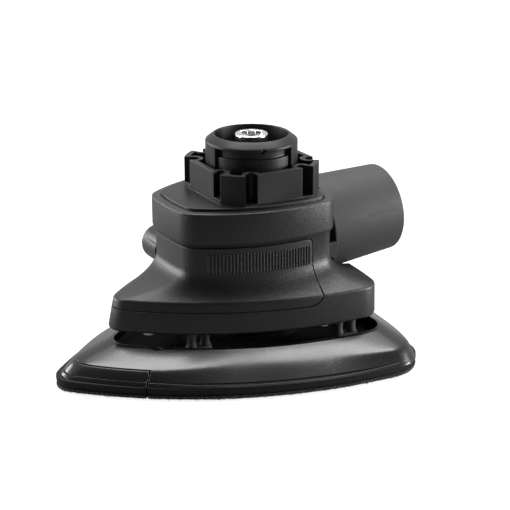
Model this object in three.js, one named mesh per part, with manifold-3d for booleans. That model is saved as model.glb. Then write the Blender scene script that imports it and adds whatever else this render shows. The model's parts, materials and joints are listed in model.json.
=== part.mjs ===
// Orbital detail-sander head: a coupling on top, a pointed platen below and a dust outlet at the heel.
// Millimetres, +Z up. The origin is on the sole under the drive axis, the nose points to -X and the dust
// outlet to +X. The pieces of the platen are placed about its own hub, which the eccentric pin carries.
import * as THREE from "three";
import { mergeVertices } from "three/addons/utils/BufferGeometryUtils.js";
import Module from "manifold-3d";

const wasm = await Module();
wasm.setup();

// ---------------------------------------------------------------- fits
const GAP = 0.3; // between pieces that are seated on each other
const TIP_GAP = 0.6; // between the detail tip and the platen that it slides out of
const FAN_GAP = 0.6; // between the fan and the bearing carrier
const FAN_ROOM = 1.0; // between the fan and the inside of the housing
const LOBE_GAP = 0.7; // between the counterweight and the platen hub

// ---------------------------------------------------------------- platen, seen from its hub
const ECCENTRICITY = 1.0; // orbit radius
const PAD = { tip: 79.4, tipRadius: 8, widest: 30, halfWidth: 51.2, cornerRadius: 16, heel: 47.9 };
const BASE = { tip: 77.6, tipRadius: 7.6, widest: 31.4, halfWidth: 52.4, cornerRadius: 11.5, heel: 48.4 };
const RIM = { tip: 56.8, tipRadius: 7.2, widest: 26.7, halfWidth: 36.5, cornerRadius: 8.4, heel: 35.2 };
const SHEET_THICKNESS = 1.5;
const FOAM_THICKNESS = 3.8;
const PLATEN_FLOOR = 2.8;
const DOME_RISE = 7.8; // underside of the platen to its rim
const DOME_WALL = 2.2;
const DOME_LIP = 1.2; // width of the rim's top edge
const DOME_CROWN = 1.8; // thickness just under the rim
// exponents of the profile, 1 is straight, 2 an ellipse
const DOME_CURVE = { nose: 1.05, heel: 1.35, reach: 30 };
const HUB_WALL = 3.2;
const RIM_NOTCH = { along: -46.9, width: 2.6, depth: 1.2, reach: 5 };
const DUST_HOLE_RADIUS = 3.2;
const DUST_HOLES = [[-19, 19], [4, 30], [34, 14]];

// ---------------------------------------------------------------- detail tip, seen from the platen hub
const TIP_BACK = 35; // hub to the inner corner of the V that the tip fills
const TIP_HALF_ANGLE = THREE.MathUtils.degToRad(47.8);
const TIP_HOLDER_HEIGHT = 3.1;
const TIP_ROOF = 2.2; // platen material over the tip holder
const TONGUE = { length: 8, halfWidth: 4, height: 1.4 };

// ---------------------------------------------------------------- housing, seen from the drive axis
const SKIRT = { tip: 57.7, tipRadius: 6.6, widest: 26, halfWidth: 36.5, cornerRadius: 9, heel: 37.9 };
const RIDGE = { tip: 55.6, tipRadius: 5.2, widest: 26.5, halfWidth: 35.8, cornerRadius: 8.4, heel: 37.1 };
const BAND = {
  front: 35.6, frontRadius: 80, cornerRadius: 9, widest: 4.2, halfWidth: 27.3, sideRadius: 62,
  rear: 22.5, rearCornerRadius: 8.5,
};
const SHELL_WALL = 2.4;
const SKIRT_CLEARANCE = 5.0; // platen rim to skirt
const SKIRT_HEIGHT = 11.5;
const SKIRT_EDGE = 1.0; // rounding of the skirt's lower edge
const ROUNDED = 1 - Math.SQRT1_2; // share of a rounded edge that is left at the middle of its curve
const SEAM_HEIGHT = 8.1; // skirt's lower edge to the cover's lower seam
const NECK_RISE = 18.9; // skirt ridge to the band
// a slope of that rise, then a bend into an upright neck
const FLARE = { rise: 4.3, bend: 0.91, upright: 6.2 };
const SHELL_DROP = 0.7; // how far the inside of the flare is lowered, as a share of its inset
const BAND_HEIGHT = 12.6;
const BAND_OVERHANG = 1.2; // band beyond the neck under it
const BAND_CHAMFER = 2.0;
const BAND_RIM = 3.2; // width of the band's top face round the deck
const LEDGE_WIDTH = 3.0; // ledge that carries the deck
const LEDGE_HEIGHT = 4.5;
const COVER_REAR = 10.4; // drive axis to the cover's rear seam
const COVER_CORNER = { low: 6.0, high: 2.0 };
const RIB = { count: 33, pitch: 1.14, width: 0.55, proud: 0.35, height: 7, drop: 2.5, rear: 9.2 };

// ---------------------------------------------------------------- side boss of the cover
const BOSS = { x: -27, z: 39.9, radius: 6.7, outer: 24, inner: 12, bore: 1.8, mouth: 3.8, sink: 2.2 };
// gusset beside the outlet
const LUG = { from: 19.5, to: 25.2, width: 2.2, across: 18.6, top: 43.2, bottom: 37, slope: 2, nose: 1 };
const DRIVE_SLOT = { width: 0.7, reach: 0.7, depth: 0.5 }; // reach and depth as shares of the screw's head
const SIDE_SCREW = { headRadius: 3.2, headHeight: 1.7, shankRadius: 1.5, length: 8 };

// ---------------------------------------------------------------- coupling on top
const DECK_RISE = 1.1; // deck above the band
const DECK_THICKNESS = 4.0;
const DECK_BORE = 11;
// a square whose corners lie on a circle
const COLLAR = { facet: 20.4, corner: 24.5, height: 10.9, wall: 2.0 };
const COLLAR_SLOT = { along: 11.5, width: 4.0, inset: 2.8, wall: 1.3, foot: 1.7, sideFoot: 0.3 };
const NECK = { radius: 16.7, mouth: 13.3, height: 20.3, rim: 0.7, bevel: 2.1, flange: 3.1, floor: 2.5,
  bore: 6.8 };
const NECK_SPIGOT = 2.6; // length of the neck's spigot in the deck
const BAYONET = { recess: 1.0, groove: 1.1, grooveHeight: 2.9, keyAngle: 72, keyAt: 154.3, notch: 1.4,
  notchAt: 256 };
const SOCKET = { radius: 6.0, proud: 0.1, clearance: 0.9, lobe: 1.05, lobeRing: 3.25, core: 3.4, depth: 8.5,
  lobes: 6 };

// ---------------------------------------------------------------- drive train
const SHAFT_RADIUS = 5;
const SHAFT_REACH = 9.7; // shaft above the deck
const SHOULDER = { radius: 7, height: 1.3 };
const SPINDLE_BEARING = { outer: 12, width: 7, raceWall: 1.9, innerRace: 2.4 };
const PLATEN_BEARING = { outer: 13, width: 8, raceWall: 2.0, innerRace: 2.9 };
const CARRIER = { radius: 15, flange: 15.7, flangeHeight: 3.1, shoulder: 1.5, lip: 1.2, screwAt: 12.9 };
const CARRIER_SCREW = { headRadius: 2.7, headHeight: 1.8, shankRadius: 1.3, tip: 1.1 };
const CIRCLIP = { thickness: 1.2, depth: 1.0, width: 2.3, mouth: 5 };
const FAN = { radius: 21.5, disc: 1.5, height: 8.4, hub: 8.5, collar: 7, blades: 9, bladeThickness: 1.4,
  eye: 11 };
const ECCENTRIC = { hub: 8.5, height: 4.9, seat: 2.6, lobeRadius: 17, lobeTop: 0.3, pin: 5 };
const CENTRE_SCREW = { headRadius: 4.6, headHeight: 1.0, shankRadius: 2.5, length: 6.5 };
const WASHER = { radius: 7.6, thickness: 1.3 };

// ---------------------------------------------------------------- base plate and legs
const BASE_PLATE = { thickness: 2.0, opening: 19, draft: 0.3 }; // draft, share of the way to the ridge
const BASE_SCREW = { headRadius: 2.1, headHeight: 1.3, shankRadius: 1.3, length: 7, bossRadius: 2.7,
  bossHeight: 5.5 };
const BASE_SCREWS = [[-45.8, 6.8], [12.5, 30.2]];
const LEG = { spread: 2.75, postRadius: 1.75, footRadius: 2.4, foot: 3.0, head: 1.5 };
const LEGS = { front: [-30, 14.5], rear: [22.5, 29.5] };
const LEG_SCREW = { headRadius: 2.4, headHeight: 1.2, shankRadius: 1.1, grip: 2.4 };

// ---------------------------------------------------------------- dust outlet, along its own axis
const DUCT_HEIGHT = 43; // outlet axis above the sole, at the drive axis
const DUCT_TILT = THREE.MathUtils.degToRad(3.9);
const ADAPTER = { start: 25.4, length: 31.8, startRadius: 18, endRadius: 16.6, endWall: 2.0, overlap: 12 };
const SPIGOT = { radius: 15.5, wall: 3.0, start: 19.5, end: 36 };
const DUCT_WALL = 2.4;
const CRADLE_GAP = 0.5; // housing to the outside of the adapter
const SEAL = { section: 0.6, at: 31 };

// ---------------------------------------------------------------- levels above the sole
const foamBottom = SHEET_THICKNESS + GAP;
const foamTop = foamBottom + FOAM_THICKNESS;
const platenBottom = foamTop + GAP;
const floorTop = platenBottom + PLATEN_FLOOR;
const rimTop = platenBottom + DOME_RISE;
const tipHolderTop = platenBottom + TIP_HOLDER_HEIGHT;
const skirtBottom = rimTop + SKIRT_CLEARANCE;
const ridge = skirtBottom + SKIRT_HEIGHT;
const seam = skirtBottom + SEAM_HEIGHT;
const bandBottom = ridge + NECK_RISE;
const bandTop = bandBottom + BAND_HEIGHT;
const deckTop = bandTop + DECK_RISE;
const deckBottom = deckTop - DECK_THICKNESS;
const collarTop = deckTop + COLLAR.height;
const neckTop = deckTop + NECK.height;
const neckFloor = deckTop + GAP + NECK.floor;
const platenBearingBottom = floorTop + GAP;
const platenBearingTop = platenBearingBottom + PLATEN_BEARING.width;
const hubTop = platenBearingTop + GAP;
const eccentricTop = hubTop + ECCENTRIC.height;
const basePlateBottom = skirtBottom;
const basePlateTop = basePlateBottom + BASE_PLATE.thickness;
const fanBottom = eccentricTop + GAP;
const fanTop = fanBottom + FAN.height;
const carrierBottom = fanTop + FAN_GAP;
const circlipBottom = carrierBottom + CARRIER.lip + GAP;
const lowerBearingBottom = circlipBottom + CIRCLIP.thickness + GAP;
const lowerBearingTop = lowerBearingBottom + SPINDLE_BEARING.width;
const carrierTop = deckBottom - GAP;
const upperBearingTop = carrierTop;
const upperBearingBottom = upperBearingTop - SPINDLE_BEARING.width;
const shaftBottom = eccentricTop - ECCENTRIC.seat + GAP;
const shaftTop = deckTop + SHAFT_REACH;

// ---------------------------------------------------------------- solids and meshes
const OUTLINE_STEPS = 18; // points along one half of an outline
// extra length, per radian of turn, that a curve counts for when points are shared out
const CORNER_SPREAD = 20;
const FLARE_STEPS = 5; // layers of the bend from the skirt to the neck
const INNER_STEPS = 2; // layers of the same bend on the inside
const DOME_STEPS = { outer: 6, inner: 4 }; // layers of the dome
const ARC_STEPS = 8; // edges of one arc of an extruded shape
const FINE_ROUND = 36; // sides of the large circles that show
const ROUND = 24; // sides of the other circles
const SMALL_ROUND = 10; // sides of a screw or post
const SEAL_SIDES = 6; // sides of the seal ring's section
const LEG_STEPS = 4; // edges of the half circle at each end of a leg's foot
const COLLAR_SIDES = 64; // sides of the circle that rounds the collar's corners

// A closed three.js geometry as a manifold solid, without the triangles that shrink to nothing on an axis.
function solid(geometry) {
  const bare = geometry.index ? geometry.toNonIndexed() : geometry.clone();
  bare.deleteAttribute("normal");
  bare.deleteAttribute("uv");
  const merged = mergeVertices(bare, 1e-4);
  const corners = merged.index.array;
  const kept = [];
  for (let i = 0; i < corners.length; i += 3) {
    const [a, b, c] = [corners[i], corners[i + 1], corners[i + 2]];
    if (a !== b && b !== c && c !== a) kept.push(a, b, c);
  }
  return new wasm.Manifold(
    new wasm.Mesh({
      numProp: 3,
      vertProperties: merged.attributes.position.array,
      triVerts: Uint32Array.from(kept),
    }),
  );
}

function union(first, ...others) {
  return others.reduce((sum, other) => sum.add(other), first);
}

function cut(body, ...tools) {
  return tools.reduce((rest, tool) => rest.subtract(tool), body);
}

// The solid of revolution about Z of a closed profile of [radius, height] points.
function revolve(profile, sides = ROUND) {
  const points = profile.map(([radius, height]) => new THREE.Vector2(radius, height));
  if (THREE.ShapeUtils.area(points) < 0) points.reverse();
  if (points.every((point) => point.x > 0) || !points[0].equals(points.at(-1))) points.push(points[0].clone());
  return solid(new THREE.LatheGeometry(points, sides).rotateX(Math.PI / 2));
}

function cylinder(radius, bottom, top, sides = ROUND, x = 0, y = 0) {
  const geometry = new THREE.CylinderGeometry(radius, radius, top - bottom, sides);
  return solid(geometry.rotateX(Math.PI / 2).translate(x, y, (bottom + top) / 2));
}

function ring(inner, outer, bottom, top, sides = ROUND) {
  return revolve([[inner, bottom], [outer, bottom], [outer, top], [inner, top]], sides);
}

function box(xs, ys, zs) {
  const geometry = new THREE.BoxGeometry(xs[1] - xs[0], ys[1] - ys[0], zs[1] - zs[0]);
  return solid(geometry.translate((xs[0] + xs[1]) / 2, (ys[0] + ys[1]) / 2, (zs[0] + zs[1]) / 2));
}

function slab(outline, bottom, top) {
  const geometry = new THREE.ExtrudeGeometry(new THREE.Shape(outline),
    { depth: top - bottom, bevelEnabled: false });
  return solid(geometry.translate(0, 0, bottom));
}

// The solid through a stack of outlines with the same number of points: each layer is [outline, height].
function loft(layers) {
  const count = layers[0][0].length;
  const positions = layers.flatMap(([outline, height]) =>
    outline.flatMap((point) => [point.x, point.y, height]));
  const faces = [];
  for (let layer = 0; layer + 1 < layers.length; layer++) {
    for (let i = 0; i < count; i++) {
      const a = layer * count + i;
      const b = layer * count + ((i + 1) % count);
      faces.push(a, b, b + count, a, b + count, a + count);
    }
  }
  const last = (layers.length - 1) * count;
  for (const [a, b, c] of THREE.ShapeUtils.triangulateShape(layers[0][0], [])) faces.push(c, b, a);
  for (const [a, b, c] of THREE.ShapeUtils.triangulateShape(layers.at(-1)[0], []))
    faces.push(last + a, last + b, last + c);
  const geometry = new THREE.BufferGeometry();
  geometry.setAttribute("position", new THREE.Float32BufferAttribute(positions, 3));
  geometry.setIndex(faces);
  return solid(geometry);
}

const group = new THREE.Group();
const housingGroup = new THREE.Group();
const spindleGroup = new THREE.Group();
const platenGroup = new THREE.Group();
const tipGroup = new THREE.Group();
const adapterGroup = new THREE.Group();
platenGroup.position.x = ECCENTRICITY;
adapterGroup.position.z = DUCT_HEIGHT;
adapterGroup.rotation.y = Math.PI / 2 - DUCT_TILT;
platenGroup.add(tipGroup);
group.add(housingGroup, spindleGroup, platenGroup, adapterGroup);

const finish = (color, roughness, metalness) =>
  new THREE.MeshStandardMaterial({ color, roughness, metalness });
const finishes = {
  housingPlastic: () => finish(0x1d1d1e, 0.7, 0),
  couplingPlastic: () => finish(0x17171a, 0.45, 0),
  platenPlastic: () => finish(0x1a1a1b, 0.35, 0),
  tubePlastic: () => finish(0x2c2c2e, 0.6, 0),
  fanPlastic: () => finish(0x2a2a2c, 0.5, 0),
  rubber: () => finish(0x303032, 0.8, 0),
  foam: () => finish(0x151515, 0.95, 0),
  hook: () => finish(0x202020, 1, 0),
  chrome: () => finish(0xd8d8d8, 0.15, 1),
  steel: () => finish(0x9a9a9c, 0.35, 1),
  castMetal: () => finish(0x8c8c8e, 0.5, 1),
};

// Adds a solid to the scene as one named mesh of its own.
function piece(name, material, body, parent, position = [0, 0, 0]) {
  const { numProp, vertProperties, triVerts } = body.getMesh();
  const geometry = new THREE.BufferGeometry();
  const positions = new Float32Array((vertProperties.length / numProp) * 3);
  for (let i = 0; i < positions.length / 3; i++)
    positions.set(vertProperties.subarray(i * numProp, i * numProp + 3), i * 3);
  geometry.setAttribute("position", new THREE.BufferAttribute(positions, 3));
  geometry.setIndex(new THREE.BufferAttribute(triVerts, 1));
  geometry.computeVertexNormals();
  const mesh = new THREE.Mesh(geometry, finishes[material]());
  mesh.name = name;
  mesh.position.set(...position);
  parent.add(mesh);
}

// ---------------------------------------------------------------- outlines
// Points along a half outline on the -Y side, closer together where it turns, and their mirror images.
function mirrored(half) {
  const turn = (curve) => Math.abs((curve.aEndAngle ?? 0) - (curve.aStartAngle ?? 0));
  const weights = half.curves.map((curve) => curve.getLength() + CORNER_SPREAD * turn(curve));
  const total = weights.reduce((sum, weight) => sum + weight, 0);
  const near = [];
  for (let i = 0; i <= OUTLINE_STEPS; i++) {
    let rest = (i * total) / OUTLINE_STEPS;
    let n = 0;
    while (n + 1 < weights.length && rest > weights[n]) rest -= weights[n++];
    near.push(half.curves[n].getPoint(Math.min(rest / weights[n], 1)));
  }
  const far = near.slice(1, -1).reverse();
  return [...near, ...far.map((point) => new THREE.Vector2(point.x, -point.y))];
}

// A boat-shaped outline of tangent arcs: the tip, the side, the corner and the heel. A positive inset
// shrinks it.
function boat(plan, inset = 0) {
  const halfWidth = plan.halfWidth - inset;
  const tipRadius = Math.max(plan.tipRadius - inset, GAP);
  const cornerRadius = Math.max(plan.cornerRadius - inset, GAP);
  const tipX = -(plan.tip - inset) + tipRadius;
  const reach = plan.widest - tipX;
  const sideRadius = (reach ** 2 + halfWidth ** 2 - tipRadius ** 2) / (2 * (halfWidth - tipRadius));
  const back = plan.widest - (plan.heel - inset);
  const cornerY = cornerRadius - halfWidth;
  const heelRadius = (cornerRadius ** 2 - back ** 2 - cornerY ** 2) / (2 * (back + cornerRadius));
  const heelX = plan.heel - inset - heelRadius;
  const tipEnd = Math.atan2(halfWidth - sideRadius, tipX - plan.widest) + 2 * Math.PI;
  const cornerEnd = Math.atan2(cornerY, plan.widest - heelX) + 2 * Math.PI;
  const half = new THREE.Path();
  half.absarc(tipX, 0, tipRadius, Math.PI, tipEnd, false);
  half.absarc(plan.widest, sideRadius - halfWidth, sideRadius, tipEnd, 1.5 * Math.PI, false);
  half.absarc(plan.widest, cornerY, cornerRadius, 1.5 * Math.PI, cornerEnd, false);
  half.absarc(heelX, 0, heelRadius, cornerEnd, 2 * Math.PI, false);
  return mirrored(half);
}

// The band's outline: a bowed front, round front corners, bowed sides and a flat rear with round corners.
function bandOutline(inset = 0) {
  const frontRadius = BAND.frontRadius - inset;
  const sideRadius = BAND.sideRadius - inset;
  const corner = Math.max(BAND.cornerRadius - inset, GAP);
  const rearCorner = Math.max(BAND.rearCornerRadius - inset, GAP);
  const rear = BAND.rear - inset;
  const front = new THREE.Vector2(BAND.frontRadius - BAND.front, 0);
  const side = new THREE.Vector2(BAND.widest, BAND.sideRadius - BAND.halfWidth);
  const across = side.clone().sub(front);
  const toFront = frontRadius - corner;
  const toSide = sideRadius - corner;
  const along = (across.lengthSq() + toFront ** 2 - toSide ** 2) / (2 * across.length());
  const aside = Math.sqrt(toFront ** 2 - along ** 2);
  const unit = across.normalize();
  const centre = new THREE.Vector2(front.x + unit.x * along - unit.y * aside,
    unit.y * along + unit.x * aside);
  const rearX = rear - rearCorner;
  const rearY = side.y - Math.sqrt((sideRadius - rearCorner) ** 2 - (rearX - side.x) ** 2);
  const turn = (from, to) => Math.atan2(to.y - from.y, to.x - from.x) + 2 * Math.PI;
  const rearCentre = new THREE.Vector2(rearX, rearY);
  const half = new THREE.Path();
  half.absarc(front.x, 0, frontRadius, Math.PI, turn(front, centre), false);
  half.absarc(centre.x, centre.y, corner, turn(front, centre), turn(side, centre), false);
  half.absarc(side.x, side.y, sideRadius, turn(side, centre), turn(side, rearCentre), false);
  half.absarc(rearX, rearY, rearCorner, turn(side, rearCentre), 2 * Math.PI, false);
  half.lineTo(rear, 0);
  return mirrored(half);
}

function between(from, to, share) {
  return from.map((point, i) => point.clone().lerp(to[i], share));
}

const bothSides = (points) => points.flatMap(([x, y]) => [[x, -y], [x, y]]);

// ---------------------------------------------------------------- housing shell
// The body from the ridge to the band, drawn in by an inset: a straight slope, a bend and an upright neck.
function flareLayers(inset, steps) {
  const foot = boat(RIDGE, inset);
  const neck = bandOutline(BAND_OVERHANG + inset);
  const start = ridge - inset * SHELL_DROP;
  const layers = [[foot, start]];
  for (let i = 0; i <= steps; i++) {
    const before = FLARE.bend * (1 - i / steps) ** 2;
    const after = FLARE.upright * (i / steps) ** 2;
    layers.push([between(foot, neck, 1 - before), start + FLARE.rise * (1 - before) + after]);
  }
  return [...layers, [neck, bandBottom]];
}

const skirtAndFlare = loft([
  [boat(SKIRT, SKIRT_EDGE), skirtBottom],
  [boat(SKIRT, SKIRT_EDGE * ROUNDED), skirtBottom + SKIRT_EDGE * ROUNDED],
  [boat(SKIRT), skirtBottom + SKIRT_EDGE],
  ...flareLayers(0, FLARE_STEPS),
]);
const bandBody = loft([
  [bandOutline(BAND_OVERHANG), bandBottom],
  [bandOutline(), bandBottom + BAND_CHAMFER],
  [bandOutline(), bandTop],
]);
const cavity = loft([
  [boat(SKIRT, SHELL_WALL), skirtBottom - 1],
  ...flareLayers(SHELL_WALL, INNER_STEPS),
]);
const bandOpening = union(
  slab(bandOutline(BAND_OVERHANG + SHELL_WALL), bandBottom - 1, deckBottom - GAP - LEDGE_HEIGHT),
  slab(bandOutline(BAND_RIM + LEDGE_WIDTH), bandBottom, deckBottom),
  slab(bandOutline(BAND_RIM), deckBottom - GAP, bandTop + 1),
);

// The side view of the front cover, extruded across the body; grow widens it for the cut in the housing.
function coverRegion(grow) {
  const left = -2 * SKIRT.tip;
  const right = COVER_REAR + grow;
  const low = seam - grow;
  const high = bandBottom - GAP + grow;
  const shape = new THREE.Shape([new THREE.Vector2(left, high), new THREE.Vector2(left, low)]);
  shape.absarc(right - COVER_CORNER.low, low + COVER_CORNER.low, COVER_CORNER.low, -Math.PI / 2, 0, false);
  const highY = high - COVER_CORNER.high;
  shape.absarc(right - COVER_CORNER.high, highY, COVER_CORNER.high, 0, Math.PI / 2, false);
  const across = 4 * SKIRT.halfWidth;
  const geometry = new THREE.ExtrudeGeometry(shape, { depth: across, bevelEnabled: false,
    curveSegments: ARC_STEPS });
  return solid(geometry.rotateX(Math.PI / 2).translate(0, across / 2, 0));
}

// A solid built along the outlet axis, from its own Z to the housing's frame.
function onDuct(body) {
  return body.rotate([0, 90 - THREE.MathUtils.radToDeg(DUCT_TILT), 0]).translate([0, 0, DUCT_HEIGHT]);
}

const spigotBore = SPIGOT.radius - SPIGOT.wall;
const adapterSeat = ADAPTER.start - GAP;
const cradle = onDuct(cylinder(ADAPTER.startRadius + CRADLE_GAP + DUCT_WALL, adapterSeat - DUCT_WALL,
  2 * SKIRT.heel))
  .intersect(union(skirtAndFlare, bandBody));
const adapterRoom = onDuct(cylinder(ADAPTER.startRadius + CRADLE_GAP, adapterSeat, 2 * SKIRT.heel));
const sealGroove = SPIGOT.radius - 2 * SEAL.section - GAP + SEAL.section / 2;
const spigot = onDuct(cut(
  ring(spigotBore, SPIGOT.radius, SPIGOT.start, SPIGOT.end),
  ring(sealGroove, SPIGOT.radius + 1, SEAL.at - SEAL.section - GAP, SEAL.at + SEAL.section + GAP),
)).subtract(cylinder(FAN.radius + FAN_ROOM, skirtBottom, fanTop + FAN_ROOM));
const baseBosses = bothSides(BASE_SCREWS).map(([x, y]) =>
  cylinder(BASE_SCREW.bossRadius, basePlateTop + GAP, basePlateTop + GAP + BASE_SCREW.bossHeight,
    SMALL_ROUND, x, y));
const baseBossHoles = bothSides(BASE_SCREWS).map(([x, y]) =>
  cylinder(BASE_SCREW.shankRadius + GAP, basePlateBottom - 1, basePlateBottom + BASE_SCREW.length,
    SMALL_ROUND, x, y));

// The gusset between the neck and the outlet: a plate whose lower edge slopes up towards the neck.
const lugShape = new THREE.Shape([
  new THREE.Vector2(LUG.from, LUG.bottom + LUG.slope), new THREE.Vector2(LUG.to - LUG.nose, LUG.bottom),
  new THREE.Vector2(LUG.to, LUG.bottom + LUG.slope), new THREE.Vector2(LUG.to, LUG.top),
  new THREE.Vector2(LUG.from, LUG.top),
]);
const lugs = [-1, 1].map((way) => solid(new THREE.ExtrudeGeometry(lugShape,
  { depth: LUG.width, bevelEnabled: false })
  .rotateX(Math.PI / 2).translate(0, LUG.width / 2 + way * LUG.across, 0)));

const shell = union(cut(union(skirtAndFlare, bandBody), cavity, bandOpening), cradle.subtract(bandOpening));
const mainHousing = cut(
  union(cut(shell, coverRegion(GAP), adapterRoom), spigot.subtract(bandOpening), ...lugs, ...baseBosses),
  onDuct(cylinder(spigotBore, SPIGOT.start - DUCT_WALL, SPIGOT.end + 1)),
  ...baseBossHoles,
);
piece("main_housing", "housingPlastic", mainHousing, housingGroup);

// ---------------------------------------------------------------- front cover with its side boss
function onBoss(body) {
  return body.rotate([-90, 0, 0]).translate([BOSS.x, 0, BOSS.z]);
}

function ribs() {
  const top = bandBottom - RIB.drop;
  const bars = [];
  for (let i = 0; i < RIB.count; i++) {
    const x = RIB.rear - i * RIB.pitch;
    bars.push(box([x - RIB.width / 2, x + RIB.width / 2], [-BAND.halfWidth, BAND.halfWidth],
      [top - RIB.height, top]));
  }
  return union(...bars).intersect(cut(loft(flareLayers(-RIB.proud, FLARE_STEPS)),
    loft(flareLayers(SHELL_WALL / 2, INNER_STEPS))));
}

const boss = onBoss(cylinder(BOSS.radius, BOSS.inner, BOSS.outer));
const bossHole = onBoss(union(
  cylinder(BOSS.bore, BOSS.inner + 1, BOSS.outer + 1, SMALL_ROUND),
  cylinder(BOSS.mouth, BOSS.outer - BOSS.sink, BOSS.outer + 1, SMALL_ROUND),
));
const coverShell = cut(skirtAndFlare, cavity).intersect(coverRegion(0));
piece("front_cover", "housingPlastic", cut(union(coverShell, ribs(), boss), bossHole), housingGroup);

// A screw pointing up: its head's underside is at zero and its shank rises from there.
function screw({ headRadius, headHeight, shankRadius }, length) {
  const reach = headRadius * DRIVE_SLOT.reach;
  const half = DRIVE_SLOT.width / 2;
  const slot = box([-reach, reach], [-half, half], [-headHeight - 1, -headHeight * DRIVE_SLOT.depth]);
  const body = revolve([[0, -headHeight], [headRadius, -headHeight], [headRadius, 0], [shankRadius, 0],
    [shankRadius, length], [0, length]], SMALL_ROUND);
  return body.subtract(slot);
}

const sideScrew = onBoss(screw(SIDE_SCREW, SIDE_SCREW.length).rotate([180, 0, 0])
  .translate([0, 0, BOSS.outer - BOSS.sink + GAP]));
piece("side_screw", "steel", sideScrew, housingGroup);

// ---------------------------------------------------------------- coupling: deck, slotted collar and neck
function collarBlock(inset, bottom, top) {
  const half = COLLAR.facet - inset;
  return box([-half, half], [-half, half], [bottom, top])
    .intersect(cylinder(COLLAR.corner - inset, bottom, top, COLLAR_SIDES));
}

const slotRadius = COLLAR_SLOT.width / 2;
const slotShare = 1 - COLLAR_SLOT.inset / Math.hypot(COLLAR.facet, COLLAR_SLOT.along);
const slotCentres = bothSides([[COLLAR.facet, COLLAR_SLOT.along], [COLLAR_SLOT.along, COLLAR.facet]])
  .flatMap(([x, y]) => [new THREE.Vector2(x, y), new THREE.Vector2(-x, y)])
  .map((corner) => corner.multiplyScalar(slotShare));
const slotWalls = slotCentres.map((at) =>
  cylinder(slotRadius + COLLAR_SLOT.wall, deckTop - 1, collarTop, SMALL_ROUND, at.x, at.y));
const slotCuts = slotCentres.map((at) => {
  const slotFoot = deckTop + (Math.abs(at.x) > Math.abs(at.y) ? COLLAR_SLOT.foot : COLLAR_SLOT.sideFoot);
  const out = box([0, 2 * COLLAR_SLOT.inset], [-slotRadius, slotRadius], [slotFoot, collarTop + 1])
    .rotate([0, 0, THREE.MathUtils.radToDeg(at.angle())]).translate([at.x, at.y, 0]);
  return union(out, cylinder(slotRadius, slotFoot, collarTop + 1, SMALL_ROUND, at.x, at.y));
});
const collarEnvelope = collarBlock(0, deckTop - 1, collarTop);
const collarWall = collarEnvelope.subtract(collarBlock(COLLAR.wall, deckTop - 2, collarTop + 1));
const carrierScrewPlaces = bothSides([[CARRIER.screwAt, CARRIER.screwAt], [-CARRIER.screwAt, CARRIER.screwAt]]);
const carrierScrewHoles = (bottom, top) => carrierScrewPlaces.map(([x, y]) =>
  cylinder(CARRIER_SCREW.shankRadius + GAP, bottom, top, SMALL_ROUND, x, y));
const couplingCollar = cut(
  union(
    slab(bandOutline(BAND_RIM + GAP), deckBottom, deckTop),
    collarWall,
    ...slotWalls.map((wall) => wall.intersect(collarEnvelope)),
  ),
  ...slotCuts,
  ...carrierScrewHoles(deckBottom - 1, deckTop - CARRIER_SCREW.tip + GAP),
  cylinder(DECK_BORE, deckBottom - 1, deckTop + 1),
);
piece("coupling_collar", "couplingPlastic", couplingCollar, housingGroup);

const neckBottom = deckTop + GAP;
const recessRadius = NECK.radius - BAYONET.recess;
const flangeBottom = neckTop - NECK.flange;
const neckBody = revolve([
  [NECK.bore, deckTop - NECK_SPIGOT + GAP], [DECK_BORE - GAP, deckTop - NECK_SPIGOT + GAP],
    [DECK_BORE - GAP, neckBottom],
  [recessRadius, neckBottom], [recessRadius, flangeBottom - BAYONET.grooveHeight],
  [recessRadius - BAYONET.groove, flangeBottom - BAYONET.grooveHeight],
    [recessRadius - BAYONET.groove, flangeBottom],
  [NECK.radius, flangeBottom], [NECK.radius, neckTop - NECK.bevel], [NECK.mouth + NECK.rim, neckTop],
  [NECK.mouth, neckTop], [NECK.mouth, neckFloor], [NECK.bore, neckFloor],
], FINE_ROUND);

// One bayonet key: a sector of the neck's wall at full radius.
function key(middle) {
  const half = THREE.MathUtils.degToRad(BAYONET.keyAngle / 2);
  const at = THREE.MathUtils.degToRad(middle);
  const sector = new THREE.Shape();
  sector.absarc(0, 0, NECK.radius, at - half, at + half, false);
  sector.absarc(0, 0, (NECK.mouth + recessRadius - BAYONET.groove) / 2, at + half, at - half, true);
  const height = flangeBottom - neckBottom + GAP;
  const geometry = new THREE.ExtrudeGeometry(sector, { depth: height, bevelEnabled: false,
    curveSegments: ARC_STEPS });
  return solid(geometry.translate(0, 0, neckBottom));
}

const neckNotch = box([NECK.mouth + NECK.rim, NECK.radius + 1], [-BAYONET.notch / 2, BAYONET.notch / 2],
  [flangeBottom - 1, neckTop - NECK.bevel]).rotate([0, 0, BAYONET.notchAt]);
const couplingNeck = cut(union(neckBody, key(BAYONET.keyAt), key(BAYONET.keyAt + 180)), neckNotch);
piece("coupling_neck", "couplingPlastic", couplingNeck, housingGroup);

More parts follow.
